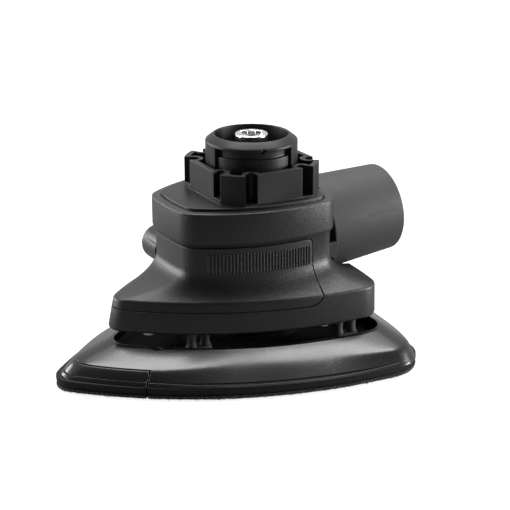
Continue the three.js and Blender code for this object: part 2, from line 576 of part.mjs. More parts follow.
// ---------------------------------------------------------------- bearing carrier and its screws
const bearingSeat = SPINDLE_BEARING.outer + GAP;
const carrierShoulder = SPINDLE_BEARING.outer - CARRIER.shoulder;
const carrierBody = union(
  cylinder(CARRIER.radius, carrierBottom, carrierTop),
  box([-CARRIER.flange, CARRIER.flange], [-CARRIER.flange, CARRIER.flange],
    [carrierTop - CARRIER.flangeHeight, carrierTop]),
);
const carrier = cut(
  carrierBody,
  revolve([
    [0, carrierBottom - 1], [bearingSeat, carrierBottom - 1], [bearingSeat, circlipBottom - GAP],
    [bearingSeat + CIRCLIP.depth, circlipBottom - GAP], [bearingSeat + CIRCLIP.depth, lowerBearingBottom],
    [bearingSeat, lowerBearingBottom], [bearingSeat, lowerBearingTop + GAP],
      [carrierShoulder, lowerBearingTop + GAP],
    [carrierShoulder, upperBearingBottom - GAP], [bearingSeat, upperBearingBottom - GAP],
    [bearingSeat, carrierTop + 1], [0, carrierTop + 1],
  ]),
  ...carrierScrewHoles(carrierTop - CARRIER.flangeHeight - 1, carrierTop + 1),
);
piece("bearing_carrier", "castMetal", carrier, housingGroup);
for (const [along, x] of [["front", -CARRIER.screwAt], ["rear", CARRIER.screwAt]])
  for (const [side, y] of [["left", CARRIER.screwAt], ["right", -CARRIER.screwAt]]) {
    const head = carrierTop - CARRIER.flangeHeight - GAP;
    const body = screw(CARRIER_SCREW, deckTop - CARRIER_SCREW.tip - head);
    piece(`carrier_screw_${along}_${side}`, "steel", body, housingGroup, [x, y, head]);
  }

// ---------------------------------------------------------------- shielded ball bearings
// The outer race carries two shields that stop short of the inner race.
function outerRace(bearing) {
  const inner = SHAFT_RADIUS + GAP + bearing.innerRace + GAP;
  const wall = bearing.outer - bearing.raceWall;
  const shield = bearing.width / 8;
  return revolve([
    [inner, 0], [bearing.outer, 0], [bearing.outer, bearing.width], [inner, bearing.width],
    [inner, bearing.width - shield], [wall, bearing.width - shield], [wall, shield], [inner, shield],
  ]);
}

function innerRace(bearing) {
  return ring(SHAFT_RADIUS + GAP, SHAFT_RADIUS + GAP + bearing.innerRace, 0, bearing.width);
}

piece("upper_bearing_outer_race", "steel", outerRace(SPINDLE_BEARING), housingGroup,
  [0, 0, upperBearingBottom]);
piece("lower_bearing_outer_race", "steel", outerRace(SPINDLE_BEARING), housingGroup,
  [0, 0, lowerBearingBottom]);
piece("upper_bearing_inner_race", "steel", innerRace(SPINDLE_BEARING), spindleGroup,
  [0, 0, upperBearingBottom]);
piece("lower_bearing_inner_race", "steel", innerRace(SPINDLE_BEARING), spindleGroup,
  [0, 0, lowerBearingBottom]);

const spacerLength = upperBearingBottom - lowerBearingTop - 2 * GAP;
const spacer = ring(SHAFT_RADIUS + GAP, SHAFT_RADIUS + GAP + SPINDLE_BEARING.innerRace, 0, spacerLength);
piece("bearing_spacer", "steel", spacer, spindleGroup, [0, 0, lowerBearingTop + GAP]);

const circlipOuter = bearingSeat + CIRCLIP.depth - GAP;
const circlip = ring(circlipOuter - CIRCLIP.width, circlipOuter, 0, CIRCLIP.thickness)
  .subtract(box([0, circlipOuter + 1], [-CIRCLIP.mouth / 2, CIRCLIP.mouth / 2],
    [-1, CIRCLIP.thickness + 1]));
piece("bearing_circlip", "steel", circlip, housingGroup, [0, 0, circlipBottom]);

// ---------------------------------------------------------------- shaft, socket, fan and eccentric
const shoulderBottom = upperBearingTop + GAP;
const shaft = revolve([
  [0, shaftBottom], [SHAFT_RADIUS, shaftBottom], [SHAFT_RADIUS, shoulderBottom],
    [SHOULDER.radius, shoulderBottom],
  [SHOULDER.radius, shoulderBottom + SHOULDER.height], [SHAFT_RADIUS, shoulderBottom + SHOULDER.height],
  [SHAFT_RADIUS, shaftTop], [0, shaftTop],
]);
piece("drive_shaft", "steel", shaft, spindleGroup);

const socketTop = neckTop + SOCKET.proud;
const lobes = [];
for (let i = 0; i < SOCKET.lobes; i++) {
  const angle = (i * 2 * Math.PI) / SOCKET.lobes;
  lobes.push(cylinder(SOCKET.lobe, socketTop - SOCKET.depth, socketTop + 1, SMALL_ROUND,
    SOCKET.lobeRing * Math.cos(angle), SOCKET.lobeRing * Math.sin(angle)));
}
const socket = cut(
  cylinder(SOCKET.radius, neckFloor + SOCKET.clearance, socketTop),
  cylinder(SHAFT_RADIUS + GAP, neckFloor, shaftTop + GAP),
  cylinder(SOCKET.core, socketTop - SOCKET.depth, socketTop + 1),
  ...lobes,
);
piece("drive_socket", "chrome", socket, spindleGroup);

const fanCollarTop = lowerBearingBottom - GAP;
const blades = [];
for (let i = 0; i < FAN.blades; i++) {
  const blade = box([FAN.eye, FAN.radius], [-FAN.bladeThickness / 2, FAN.bladeThickness / 2],
    [fanBottom + 1, fanTop - FAN.disc / 2]);
  blades.push(blade.rotate([0, 0, (i * 360) / FAN.blades]));
}
const fan = cut(
  union(
    cylinder(FAN.radius, fanTop - FAN.disc, fanTop),
    cylinder(FAN.hub, fanBottom, fanTop),
    cylinder(FAN.collar, fanTop - 1, fanCollarTop),
    ...blades,
  ),
  cylinder(SHAFT_RADIUS + GAP, fanBottom - 1, fanCollarTop + 1),
);
piece("dust_fan", "fanPlastic", fan, spindleGroup);

const pinBottom = floorTop + GAP;
const lobe = cylinder(ECCENTRIC.lobeRadius, hubTop + LOBE_GAP, eccentricTop - ECCENTRIC.lobeTop)
  .intersect(box([-2 * ECCENTRIC.lobeRadius, 0], [-2 * ECCENTRIC.lobeRadius, 2 * ECCENTRIC.lobeRadius],
    [0, bandTop]));
const eccentric = cut(
  union(
    cylinder(ECCENTRIC.hub, hubTop, eccentricTop),
    lobe,
    cylinder(ECCENTRIC.pin, pinBottom, hubTop + 1, ROUND, ECCENTRICITY, 0),
  ),
  cylinder(SHAFT_RADIUS + GAP, eccentricTop - ECCENTRIC.seat, eccentricTop + 1),
  cylinder(CENTRE_SCREW.shankRadius + GAP, pinBottom - 1, pinBottom + CENTRE_SCREW.length, SMALL_ROUND,
    ECCENTRICITY, 0),
);
piece("eccentric_counterweight", "castMetal", eccentric, spindleGroup);

piece("platen_bearing_inner_race", "steel", innerRace(PLATEN_BEARING), spindleGroup,
  [ECCENTRICITY, 0, platenBearingBottom]);
const washerTop = platenBearingBottom - GAP;
const washerBottom = washerTop - WASHER.thickness;
const washer = ring(CENTRE_SCREW.shankRadius + GAP, WASHER.radius, 0, WASHER.thickness);
piece("platen_washer", "steel", washer, spindleGroup, [ECCENTRICITY, 0, washerBottom]);
const centreScrew = screw(CENTRE_SCREW, CENTRE_SCREW.length);
piece("platen_centre_screw", "steel", centreScrew, spindleGroup, [ECCENTRICITY, 0, washerBottom - GAP]);

// ---------------------------------------------------------------- base plate under the fan
const basePlate = cut(
  slab(between(boat(SKIRT, SHELL_WALL + GAP), boat(RIDGE, SHELL_WALL + GAP), BASE_PLATE.draft),
    basePlateBottom, basePlateTop),
  cylinder(BASE_PLATE.opening, basePlateBottom - 1, basePlateTop + 1),
  ...baseBossHoles,
);
piece("base_plate", "housingPlastic", basePlate, housingGroup);
for (const [along, [x, y]] of [["front", BASE_SCREWS[0]], ["rear", BASE_SCREWS[1]]])
  for (const [side, way] of [["left", 1], ["right", -1]]) {
    const body = screw(BASE_SCREW, BASE_SCREW.length - 2 * GAP);
    piece(`base_screw_${along}_${side}`, "steel", body, housingGroup, [x, way * y, basePlateBottom - GAP]);
  }

// ---------------------------------------------------------------- platen
// The dome from its base to its rim: each layer draws the base in towards the rim, more steeply at the
// heel.
function domeLayers(rim, base, bottom, top, steps) {
  const layers = [];
  for (let i = 0; i <= steps; i++) {
    const height = Math.sin((i * Math.PI) / (2 * steps));
    const outline = base.map((point, k) => {
      const toHeel = THREE.MathUtils.clamp(0.5 + point.x / (2 * DOME_CURVE.reach), 0, 1);
      const curve = THREE.MathUtils.lerp(DOME_CURVE.nose, DOME_CURVE.heel, toHeel);
      return rim[k].clone().lerp(point, (1 - height ** curve) ** (1 / curve));
    });
    layers.push([outline, bottom + (top - bottom) * height]);
  }
  return layers;
}

const padOutline = boat(PAD);
const domeOuter = loft(domeLayers(boat(RIM, -DOME_LIP), boat(BASE), platenBottom, rimTop,
  DOME_STEPS.outer));
const domeInner = loft(domeLayers(
  boat(RIM), boat(BASE, DOME_WALL), platenBottom - GAP, rimTop - DOME_CROWN, DOME_STEPS.inner))
  .subtract(box([-2 * PAD.tip, 2 * PAD.tip], [-2 * PAD.tip, 2 * PAD.tip], [-1, floorTop]));
const rimOpening = slab(boat(RIM), floorTop + 1, rimTop + 1);

// The V-shaped region of the detail tip between two heights; grow widens it for the cut in the platen and
// pads.
function tipRegion(grow, bottom, top) {
  const apex = -TIP_BACK + grow / Math.sin(TIP_HALF_ANGLE);
  const arm = PAD.tip;
  const reach = arm / Math.tan(TIP_HALF_ANGLE);
  const shape = [[apex, 0], [apex - reach, arm], [-2 * PAD.tip, arm], [-2 * PAD.tip, -arm],
    [apex - reach, -arm]];
  return slab(shape.map(([x, y]) => new THREE.Vector2(x, y)), bottom, top);
}

const dustHoles = (bottom, top) => bothSides(DUST_HOLES).map(([x, y]) =>
  cylinder(DUST_HOLE_RADIUS, bottom, top, SMALL_ROUND, x, y));
const legPlaces = [];
for (const [along, [x, y]] of Object.entries(LEGS))
  for (const [side, way] of [["left", 1], ["right", -1]])
    legPlaces.push([`${along}_${side}`, x - ECCENTRICITY, way * y]);
const tongueTop = platenBottom + GAP + TONGUE.height;
const hubRadius = PLATEN_BEARING.outer + GAP + HUB_WALL;
const nose = domeOuter.intersect(tipRegion(TIP_GAP + DOME_WALL, platenBottom,
  tipHolderTop + GAP + TIP_ROOF));
const notches = [1, -1].map((way) => box(
  [RIM_NOTCH.along - RIM_NOTCH.width / 2, RIM_NOTCH.along + RIM_NOTCH.width / 2],
  [way > 0 ? 0 : -PAD.halfWidth, way > 0 ? PAD.halfWidth : 0], [rimTop - RIM_NOTCH.depth, rimTop + 1],
).intersect(slab(boat(RIM, -DOME_LIP - 1), rimTop - RIM_NOTCH.reach, rimTop + 1)));
const platen = cut(
  union(cut(domeOuter, domeInner, rimOpening), nose, cylinder(hubRadius, floorTop - 1, hubTop)),
  tipRegion(TIP_GAP, platenBottom - 1, tipHolderTop + GAP),
  box([-TIP_BACK - TONGUE.length, -TIP_BACK + TONGUE.length + TIP_GAP],
    [-TONGUE.halfWidth - GAP, TONGUE.halfWidth + GAP],
    [platenBottom - 1, tongueTop + GAP]),
  cylinder(PLATEN_BEARING.outer + GAP, floorTop, hubTop + 1),
  cylinder(WASHER.radius + 2 * ECCENTRICITY, platenBottom - 1, floorTop + 1),
  ...dustHoles(platenBottom - 1, rimTop),
  ...legPlaces.map(([, x, y]) => cylinder(LEG_SCREW.shankRadius + GAP, platenBottom - 1, floorTop + 1,
    SMALL_ROUND, x, y)),
  ...legPlaces.map(([, x, y]) => cylinder(LEG_SCREW.headRadius + GAP, platenBottom - 1,
    platenBottom + LEG_SCREW.headHeight + 2 * GAP, SMALL_ROUND, x, y)),
  ...notches,
);
piece("platen", "platenPlastic", platen, platenGroup);
piece("platen_bearing_outer_race", "steel", outerRace(PLATEN_BEARING), platenGroup,
  [0, 0, platenBearingBottom]);

// ---------------------------------------------------------------- flexible legs
const legTop = basePlateBottom - GAP;
function legFoot(bottom, top) {
  const outline = [];
  for (const [way, start] of [[1, -Math.PI / 2], [-1, Math.PI / 2]])
    for (let i = 0; i <= LEG_STEPS; i++) {
      const angle = start + (i * Math.PI) / LEG_STEPS;
      outline.push(new THREE.Vector2(
        way * LEG.spread + LEG.footRadius * Math.cos(angle), LEG.footRadius * Math.sin(angle)));
    }
  return slab(outline, bottom, top);
}

const legBottom = floorTop + GAP;
const leg = cut(
  union(
    legFoot(legBottom, legBottom + LEG.foot),
    legFoot(legTop - LEG.head, legTop),
    cylinder(LEG.postRadius, legBottom + 1, legTop - LEG.head / 2, SMALL_ROUND, -LEG.spread, 0),
    cylinder(LEG.postRadius, legBottom + 1, legTop - LEG.head / 2, SMALL_ROUND, LEG.spread, 0),
  ),
  cylinder(LEG_SCREW.shankRadius + GAP, legBottom - 1, legBottom + LEG_SCREW.grip + GAP, SMALL_ROUND),
);
for (const [place, x, y] of legPlaces) {
  piece(`leg_${place}`, "rubber", leg, platenGroup, [x, y, 0]);
  const head = platenBottom + LEG_SCREW.headHeight + GAP;
  const body = screw(LEG_SCREW, legBottom + LEG_SCREW.grip - head);
  piece(`leg_screw_${place}`, "steel", body, platenGroup, [x, y, head]);
}

// ---------------------------------------------------------------- foam, hook sheet and detail tip
const foam = cut(slab(padOutline, foamBottom, foamTop), tipRegion(TIP_GAP, 0, foamTop + 1),
  ...dustHoles(0, platenBottom));
piece("foam_pad", "foam", foam, platenGroup);
const sheet = cut(slab(padOutline, 0, SHEET_THICKNESS), tipRegion(TIP_GAP, -1, foamBottom),
  ...dustHoles(-1, foamBottom));
piece("hook_sheet", "hook", sheet, platenGroup);

const tongue = box([-TIP_BACK - 2 * TONGUE.length, -TIP_BACK + TONGUE.length],
  [-TONGUE.halfWidth, TONGUE.halfWidth],
  [platenBottom + GAP, tongueTop]);
const tipHolder = union(domeOuter.intersect(tipRegion(0, platenBottom, tipHolderTop)), tongue);
piece("tip_holder", "platenPlastic", tipHolder, tipGroup);
const tipFoam = slab(padOutline, foamBottom, foamTop).intersect(tipRegion(0, 0, platenBottom));
piece("tip_foam", "foam", tipFoam, tipGroup);
const tipSheet = slab(padOutline, 0, SHEET_THICKNESS).intersect(tipRegion(0, -1, foamBottom));
piece("tip_hook_sheet", "hook", tipSheet, tipGroup);

// ---------------------------------------------------------------- dust adapter and its seal ring
const adapterEnd = ADAPTER.start + ADAPTER.length;
const endBore = ADAPTER.endRadius - ADAPTER.endWall;
const adapter = revolve([
  [SPIGOT.radius + GAP, ADAPTER.start], [ADAPTER.startRadius, ADAPTER.start],
    [ADAPTER.endRadius, adapterEnd],
  [endBore, adapterEnd], [endBore, ADAPTER.start + ADAPTER.overlap],
    [SPIGOT.radius + GAP, ADAPTER.start + ADAPTER.overlap],
], FINE_ROUND);
piece("dust_adapter", "tubePlastic", adapter, adapterGroup);
const sealRadius = sealGroove + SEAL.section + GAP / 2;
const sealSection = [];
for (let i = 0; i < SEAL_SIDES; i++) {
  const angle = (i * 2 * Math.PI) / SEAL_SIDES;
  sealSection.push([sealRadius + SEAL.section * Math.cos(angle), SEAL.at + SEAL.section * Math.sin(angle)]);
}
piece("adapter_seal_ring", "rubber", onDuct(revolve(sealSection)), housingGroup);

export default group;
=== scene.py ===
"""Looks of a pointed orbital sanding head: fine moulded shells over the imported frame, finishes and stage.

Lengths in the shapes are millimetres about the drive axis, with the sole at zero; a mesh is scaled to metres
when it is made. Lengths in the finishes and on the stage are metres. The panel in the 3D view's sidebar holds
the sizes and colours that are meant to be changed.
"""
import json
import math
import random

import bmesh
import bpy
from mathutils import Matrix, Vector
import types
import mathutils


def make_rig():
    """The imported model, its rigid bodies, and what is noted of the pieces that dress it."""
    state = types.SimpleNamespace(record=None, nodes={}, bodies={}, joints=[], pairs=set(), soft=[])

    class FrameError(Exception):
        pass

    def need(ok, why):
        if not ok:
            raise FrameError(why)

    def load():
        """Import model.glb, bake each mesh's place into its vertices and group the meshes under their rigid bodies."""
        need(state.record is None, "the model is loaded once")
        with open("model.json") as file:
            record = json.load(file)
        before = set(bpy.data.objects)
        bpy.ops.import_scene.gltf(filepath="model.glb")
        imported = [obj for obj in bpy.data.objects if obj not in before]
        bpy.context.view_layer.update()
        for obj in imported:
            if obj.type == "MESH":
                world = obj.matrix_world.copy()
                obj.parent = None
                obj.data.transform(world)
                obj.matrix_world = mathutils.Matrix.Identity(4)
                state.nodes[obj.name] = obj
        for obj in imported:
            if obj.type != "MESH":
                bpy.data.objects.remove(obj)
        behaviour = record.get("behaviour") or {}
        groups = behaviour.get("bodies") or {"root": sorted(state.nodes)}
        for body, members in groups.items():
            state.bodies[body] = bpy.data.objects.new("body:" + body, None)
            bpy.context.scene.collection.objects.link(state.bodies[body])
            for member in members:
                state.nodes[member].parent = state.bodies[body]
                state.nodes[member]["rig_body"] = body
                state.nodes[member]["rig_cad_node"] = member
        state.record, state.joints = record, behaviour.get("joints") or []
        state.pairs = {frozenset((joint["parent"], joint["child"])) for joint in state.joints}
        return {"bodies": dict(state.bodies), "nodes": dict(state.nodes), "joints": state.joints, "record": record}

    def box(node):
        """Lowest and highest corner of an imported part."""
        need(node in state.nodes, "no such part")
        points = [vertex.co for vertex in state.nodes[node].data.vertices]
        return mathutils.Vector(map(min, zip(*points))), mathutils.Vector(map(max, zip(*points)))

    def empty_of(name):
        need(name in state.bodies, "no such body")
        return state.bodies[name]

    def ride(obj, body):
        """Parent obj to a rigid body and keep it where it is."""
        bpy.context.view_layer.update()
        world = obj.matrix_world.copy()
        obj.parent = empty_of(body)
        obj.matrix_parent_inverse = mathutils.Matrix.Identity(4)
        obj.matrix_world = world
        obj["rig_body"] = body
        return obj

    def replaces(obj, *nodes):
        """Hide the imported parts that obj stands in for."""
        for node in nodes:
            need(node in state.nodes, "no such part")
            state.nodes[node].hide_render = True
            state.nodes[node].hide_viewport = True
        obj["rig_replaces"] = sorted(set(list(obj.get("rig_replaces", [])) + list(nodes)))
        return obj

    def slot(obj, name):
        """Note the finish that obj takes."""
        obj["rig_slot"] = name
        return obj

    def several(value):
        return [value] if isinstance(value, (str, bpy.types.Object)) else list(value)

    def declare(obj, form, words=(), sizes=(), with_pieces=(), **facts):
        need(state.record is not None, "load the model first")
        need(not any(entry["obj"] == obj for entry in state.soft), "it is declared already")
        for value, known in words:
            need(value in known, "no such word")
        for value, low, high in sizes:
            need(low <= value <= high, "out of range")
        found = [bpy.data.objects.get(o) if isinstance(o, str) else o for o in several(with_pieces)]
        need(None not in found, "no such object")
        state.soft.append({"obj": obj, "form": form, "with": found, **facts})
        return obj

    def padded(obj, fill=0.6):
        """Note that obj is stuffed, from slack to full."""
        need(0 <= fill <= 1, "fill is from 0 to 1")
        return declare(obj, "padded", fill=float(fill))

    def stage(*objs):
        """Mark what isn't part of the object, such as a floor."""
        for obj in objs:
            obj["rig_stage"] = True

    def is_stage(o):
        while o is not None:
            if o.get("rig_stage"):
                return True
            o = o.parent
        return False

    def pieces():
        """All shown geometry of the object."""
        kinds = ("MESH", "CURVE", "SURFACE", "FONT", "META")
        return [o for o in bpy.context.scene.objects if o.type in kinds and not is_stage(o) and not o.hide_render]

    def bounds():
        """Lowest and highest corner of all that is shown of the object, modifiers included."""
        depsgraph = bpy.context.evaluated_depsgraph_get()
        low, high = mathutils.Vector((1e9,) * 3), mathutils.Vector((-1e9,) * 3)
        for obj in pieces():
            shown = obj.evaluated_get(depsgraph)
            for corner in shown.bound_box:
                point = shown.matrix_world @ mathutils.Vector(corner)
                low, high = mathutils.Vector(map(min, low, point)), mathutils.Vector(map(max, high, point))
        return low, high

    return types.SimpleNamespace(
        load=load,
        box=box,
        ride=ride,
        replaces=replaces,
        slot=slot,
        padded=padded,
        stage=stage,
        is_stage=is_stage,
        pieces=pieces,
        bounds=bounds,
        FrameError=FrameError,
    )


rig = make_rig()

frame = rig.load()
CAD_BOUNDS = [list(corner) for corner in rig.bounds()]

bl_info = {
    "name": "Orbital Sanding Head",
    "version": (1, 0, 0),
    "blender": (4, 5, 0),
    "location": "View3D > Sidebar > Sander",
    "description": "Builds the visible shells, pads and finishes of an orbital sanding head on its frame",
    "category": "Add Mesh",
}

MM = 0.001
TURN = 2 * math.pi
FITTED_GAP = 0.3
LEAST_RADIUS = 0.3
SHARP_ANGLE = math.radians(38)
BEYOND_TIP, BEYOND_SIDE, BEYOND = 120.0, 80, 160  # past the object's ends, its sides and everything
ORBIT = 1.0  # how far the platen's axis is from the drive axis


def mm(metres):
    return metres / MM


def levels(node):
    """Lowest and highest level of a node of the frame, in millimetres."""
    low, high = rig.box(node)
    return low.z / MM, high.z / MM


def mount(name):
    found = next(entry for entry in frame["record"]["mounts"] if entry["name"] == name)
    return Vector(found["pos_m"]) / MM, Vector(found["axis"])


# ---------------------------------------------------------------- levels and places taken from the frame
skirt_bottom, band_top = levels("main_housing")
cover_bottom, cover_top = levels("front_cover")
band_bottom = cover_top + FITTED_GAP
deck_bottom, collar_top = levels("coupling_collar")
deck_top = mount("tool_seat")[0].z
neck_top = levels("coupling_neck")[1]
socket_bottom, socket_top = levels("drive_socket")
shaft_top = levels("drive_shaft")[1]
platen_bottom, hub_top = levels("platen")
foam_bottom, foam_top = levels("foam_pad")
sheet_top = levels("hook_sheet")[1]
tip_top = levels("tip_holder")[1]
leg_bottom, leg_top = levels("leg_front_left")
base_plate_bottom, base_plate_top = levels("base_plate")
fan_top = levels("dust_fan")[1]
ridge = skirt_bottom + 11.5
rim_top = platen_bottom + 7.8
floor_top = platen_bottom + 2.8
lip_bottom = platen_bottom - 1.2
outlet_end, outlet_axis = mount("hose_end")
outlet_height = outlet_end.z - outlet_end.x * outlet_axis.z / outlet_axis.x
outlet_tilt = math.atan2(outlet_axis.z, outlet_axis.x)
outlet_reach = (outlet_end - Vector((0, 0, outlet_height))).length

# ---------------------------------------------------------------- outlines and places of the frame
PAD = dict(tip=79.4, tip_radius=8, widest=30, half_width=51.2, corner_radius=16, heel=47.9)
BASE = dict(tip=77.6, tip_radius=7.6, widest=31.4, half_width=52.4, corner_radius=11.5, heel=48.4)
RIM = dict(tip=56.8, tip_radius=7.2, widest=26.7, half_width=36.5, corner_radius=8.4, heel=35.2)
SKIRT = dict(tip=57.7, tip_radius=6.6, widest=26, half_width=36.5, corner_radius=9, heel=37.9)
RIDGE = dict(tip=55.6, tip_radius=5.2, widest=26.5, half_width=35.8, corner_radius=8.4, heel=37.1)
BAND = dict(front=35.6, front_radius=80, corner_radius=9, widest=4.2, half_width=27.3, side_radius=62,
            rear=22.5, rear_corner=8.5)
BAND_OVERHANG = 1.2
BAND_RIM = 3.2
BAND_CHAMFER, BAND_EDGE = 2.0, 0.45
LEDGE_WIDTH, LEDGE_DEPTH = 3, 4.8  # what the deck rests on, inside the band
FLARE_RISE, FLARE_BEND, FLARE_UPRIGHT = 4.3, 0.91, 6.2
FLARE_SINK = 0.7  # how much lower the slope starts for each millimetre further in
RIDGE_REACH = 0.75  # the share of the slope's first stretch that the ridge's rounding takes up
COVER_REAR, COVER_CORNER, COVER_TOP_CORNER = 10.4, 6.0, 2.0
RIB = dict(rear=9.2, drop=2.5, height=7, proud=0.35, root=0.8)
BOSS = dict(x=-27, z=39.9, inner=12, outer=24, radius=6.7, hole=1.8, head=3.8, head_depth=2.2, mouth=4.1,
            mouth_depth=0.3)
CRADLE_ROOM, CRADLE_END = 0.5, 58
SPIGOT = dict(start=19.5, end=36, bore=12.5, bore_start=17.1, radius=15.5, groove=14, groove_start=30.1,
              groove_end=31.9, rounding=0.3)
FAN_ROOM = 22.5
GUSSET = dict(y=18.6, half=1.1, outline=[(19.5, 39), (24.2, 37), (25.2, 39), (25.2, 43.2), (19.5, 43.2)])
POST_PLACES = [(-45.8, 6.8), (12.5, 30.2)]  # what the base plate is screwed to
POST = dict(radius=2.7, height=5.8, hole=1.6, hole_depth=7)
COLLAR_FACET, COLLAR_CORNER = 20.4, 24.5
SLOT = dict(along=11.5, inset=2.8, wall=1.3, length=5.6, end_foot=1.7, side_foot=0.3)
DECK_SCREW_PLACES = [(12.9, 12.9), (-12.9, 12.9)]
DECK_EDGE, DECK_BORE, DECK_SCREW = 0.35, 11, 1.6
NECK = dict(radius=16.7, waist=15.7, groove=14.6, groove_height=2.9, flange=3.1, bevel=2.1, mouth=13.3,
            floor=2.8, spigot=10.7, spigot_height=2.3, bore=6.8)
KEY = dict(middles=(154.3, 334.3), half_angle=36, inner=13.95)
NOTCH_ANGLE, NOTCH_HALF = 256, 0.7
SOCKET = dict(radius=6, core=3, shaft=5.3, depth=8.5, star=3.72, lobe=0.58, mouth=1.14)
TIP_APEX, TIP_ANGLE, TIP_GAP = -35, math.radians(47.8), 0.6
TIP_WALL_ROOM = 2.5  # how far the wall round the tip holder stands above it
SHOULDER_SOFTNESS = 0.07
HUB = dict(radius=16.5, seat=13.3, hole=9.6)
TONGUE = dict(x=(-51, -27), half=4, low=0.3, high=1.7)  # what guides the tip holder in the platen
RIM_NOTCH = dict(x=(-48.2, -45.6), depth=1.2)
DUST_HOLE, DUST_PLACES = 3.2, [(-19, 19), (4, 30), (34, 14)]
HOOK_AREA = dict(x=(-78, 48), y=(-51, 51))
LEG = dict(spread=2.75, foot_radius=2.4, foot=3, head=1.5, screw=1.4, screw_length=2.7, screw_head=2.7)
TUBE = dict(bore=15.8, stop=15.0, depth=12)
LEG_PLACES = [(along, side, x - ORBIT, way * y)
              for along, (x, y) in (("front", (-30, 14.5)), ("rear", (22.5, 29.5)))
              for side, way in (("left", 1), ("right", -1))]
OUTLINE_STEPS = 72
CORNER_SPREAD = 20


class Arc:
    def __init__(self, x, y, radius, start, end):
        self.x, self.y, self.radius, self.start, self.end = x, y, radius, start, end
        self.weight = radius * abs(end - start) + CORNER_SPREAD * abs(end - start)

    def point(self, share):
        angle = self.start + (self.end - self.start) * share
        return self.x + self.radius * math.cos(angle), self.y + self.radius * math.sin(angle)


class Run:
    def __init__(self, start, end):
        self.start, self.end = start, end
        self.weight = math.dist(start, end)

    def point(self, share):
        return tuple(a + (b - a) * share for a, b in zip(self.start, self.end))


def mirrored(curves):
    """Points along a half outline on the -Y side, closer together where it turns, and their mirror images."""
    total = sum(curve.weight for curve in curves)
    near = []
    for i in range(OUTLINE_STEPS + 1):
        rest, n = i * total / OUTLINE_STEPS, 0
        while n + 1 < len(curves) and rest > curves[n].weight:
            rest -= curves[n].weight
            n += 1
        near.append(curves[n].point(min(rest / curves[n].weight, 1)))
    return near + [(x, -y) for x, y in reversed(near[1:-1])]


def boat(plan, inset=0.0):
    """A boat-shaped outline of tangent arcs: the tip, the side, the corner and the heel."""
    half_width = plan["half_width"] - inset
    tip_radius = max(plan["tip_radius"] - inset, LEAST_RADIUS)
    corner = max(plan["corner_radius"] - inset, LEAST_RADIUS)
    widest = plan["widest"]
    tip_x = tip_radius - (plan["tip"] - inset)
    reach = widest - tip_x
    side_radius = (reach**2 + half_width**2 - tip_radius**2) / (2 * (half_width - tip_radius))
    back = widest - (plan["heel"] - inset)
    corner_y = corner - half_width
    heel_radius = (corner**2 - back**2 - corner_y**2) / (2 * (back + corner))
    heel_x = plan["heel"] - inset - heel_radius
    tip_end = math.atan2(half_width - side_radius, tip_x - widest) + TURN
    corner_end = math.atan2(corner_y, widest - heel_x) + TURN
    return mirrored([
        Arc(tip_x, 0, tip_radius, math.pi, tip_end),
        Arc(widest, side_radius - half_width, side_radius, tip_end, 1.5 * math.pi),
        Arc(widest, corner_y, corner, 1.5 * math.pi, corner_end),
        Arc(heel_x, 0, heel_radius, corner_end, TURN),
    ])


def band_outline(inset=0.0):
    """The band's outline: a bowed front, bowed sides and a flat rear, with round corners."""
    front_radius = BAND["front_radius"] - inset
    side_radius = BAND["side_radius"] - inset
    corner = max(BAND["corner_radius"] - inset, LEAST_RADIUS)
    rear_corner = max(BAND["rear_corner"] - inset, LEAST_RADIUS)
    rear = BAND["rear"] - inset
    front = Vector((BAND["front_radius"] - BAND["front"], 0))
    side = Vector((BAND["widest"], BAND["side_radius"] - BAND["half_width"]))
    across = side - front
    to_front, to_side = front_radius - corner, side_radius - corner
    along = (across.length_squared + to_front**2 - to_side**2) / (2 * across.length)
    aside = math.sqrt(to_front**2 - along**2)
    unit = across.normalized()
    centre = Vector((front.x + unit.x * along - unit.y * aside, unit.y * along + unit.x * aside))
    rear_x = rear - rear_corner
    rear_drop = math.sqrt((side_radius - rear_corner) ** 2 - (rear_x - side.x) ** 2)
    rear_centre = Vector((rear_x, side.y - rear_drop))

    def turn(start, end):
        return math.atan2(end.y - start.y, end.x - start.x) + TURN

    return mirrored([
        Arc(front.x, 0, front_radius, math.pi, turn(front, centre)),
        Arc(centre.x, centre.y, corner, turn(front, centre), turn(side, centre)),
        Arc(side.x, side.y, side_radius, turn(side, centre), turn(side, rear_centre)),
        Arc(rear_x, rear_centre.y, rear_corner, turn(side, rear_centre), TURN),
        Run((rear, rear_centre.y), (rear, 0)),
    ])


def between(start, end, share):
    return [(a + (c - a) * share, b + (d - b) * share) for (a, b), (c, d) in zip(start, end)]


def encloses(outline, x, y):
    """Whether a closed outline encloses a point."""
    within = False
    for (x0, y0), (x1, y1) in zip(outline, outline[1:] + outline[:1]):
        if (y0 > y) != (y1 > y) and x < x0 + (x1 - x0) * (y - y0) / (y1 - y0):
            within = not within
    return within


def both_sides(points):
    return [(x, way * y) for x, y in points for way in (-1, 1)]


def shift(x, y, z=0.0):
    return Matrix.Translation((x, y, z))


def turning(angle, axis):
    return Matrix.Rotation(angle, 4, axis)


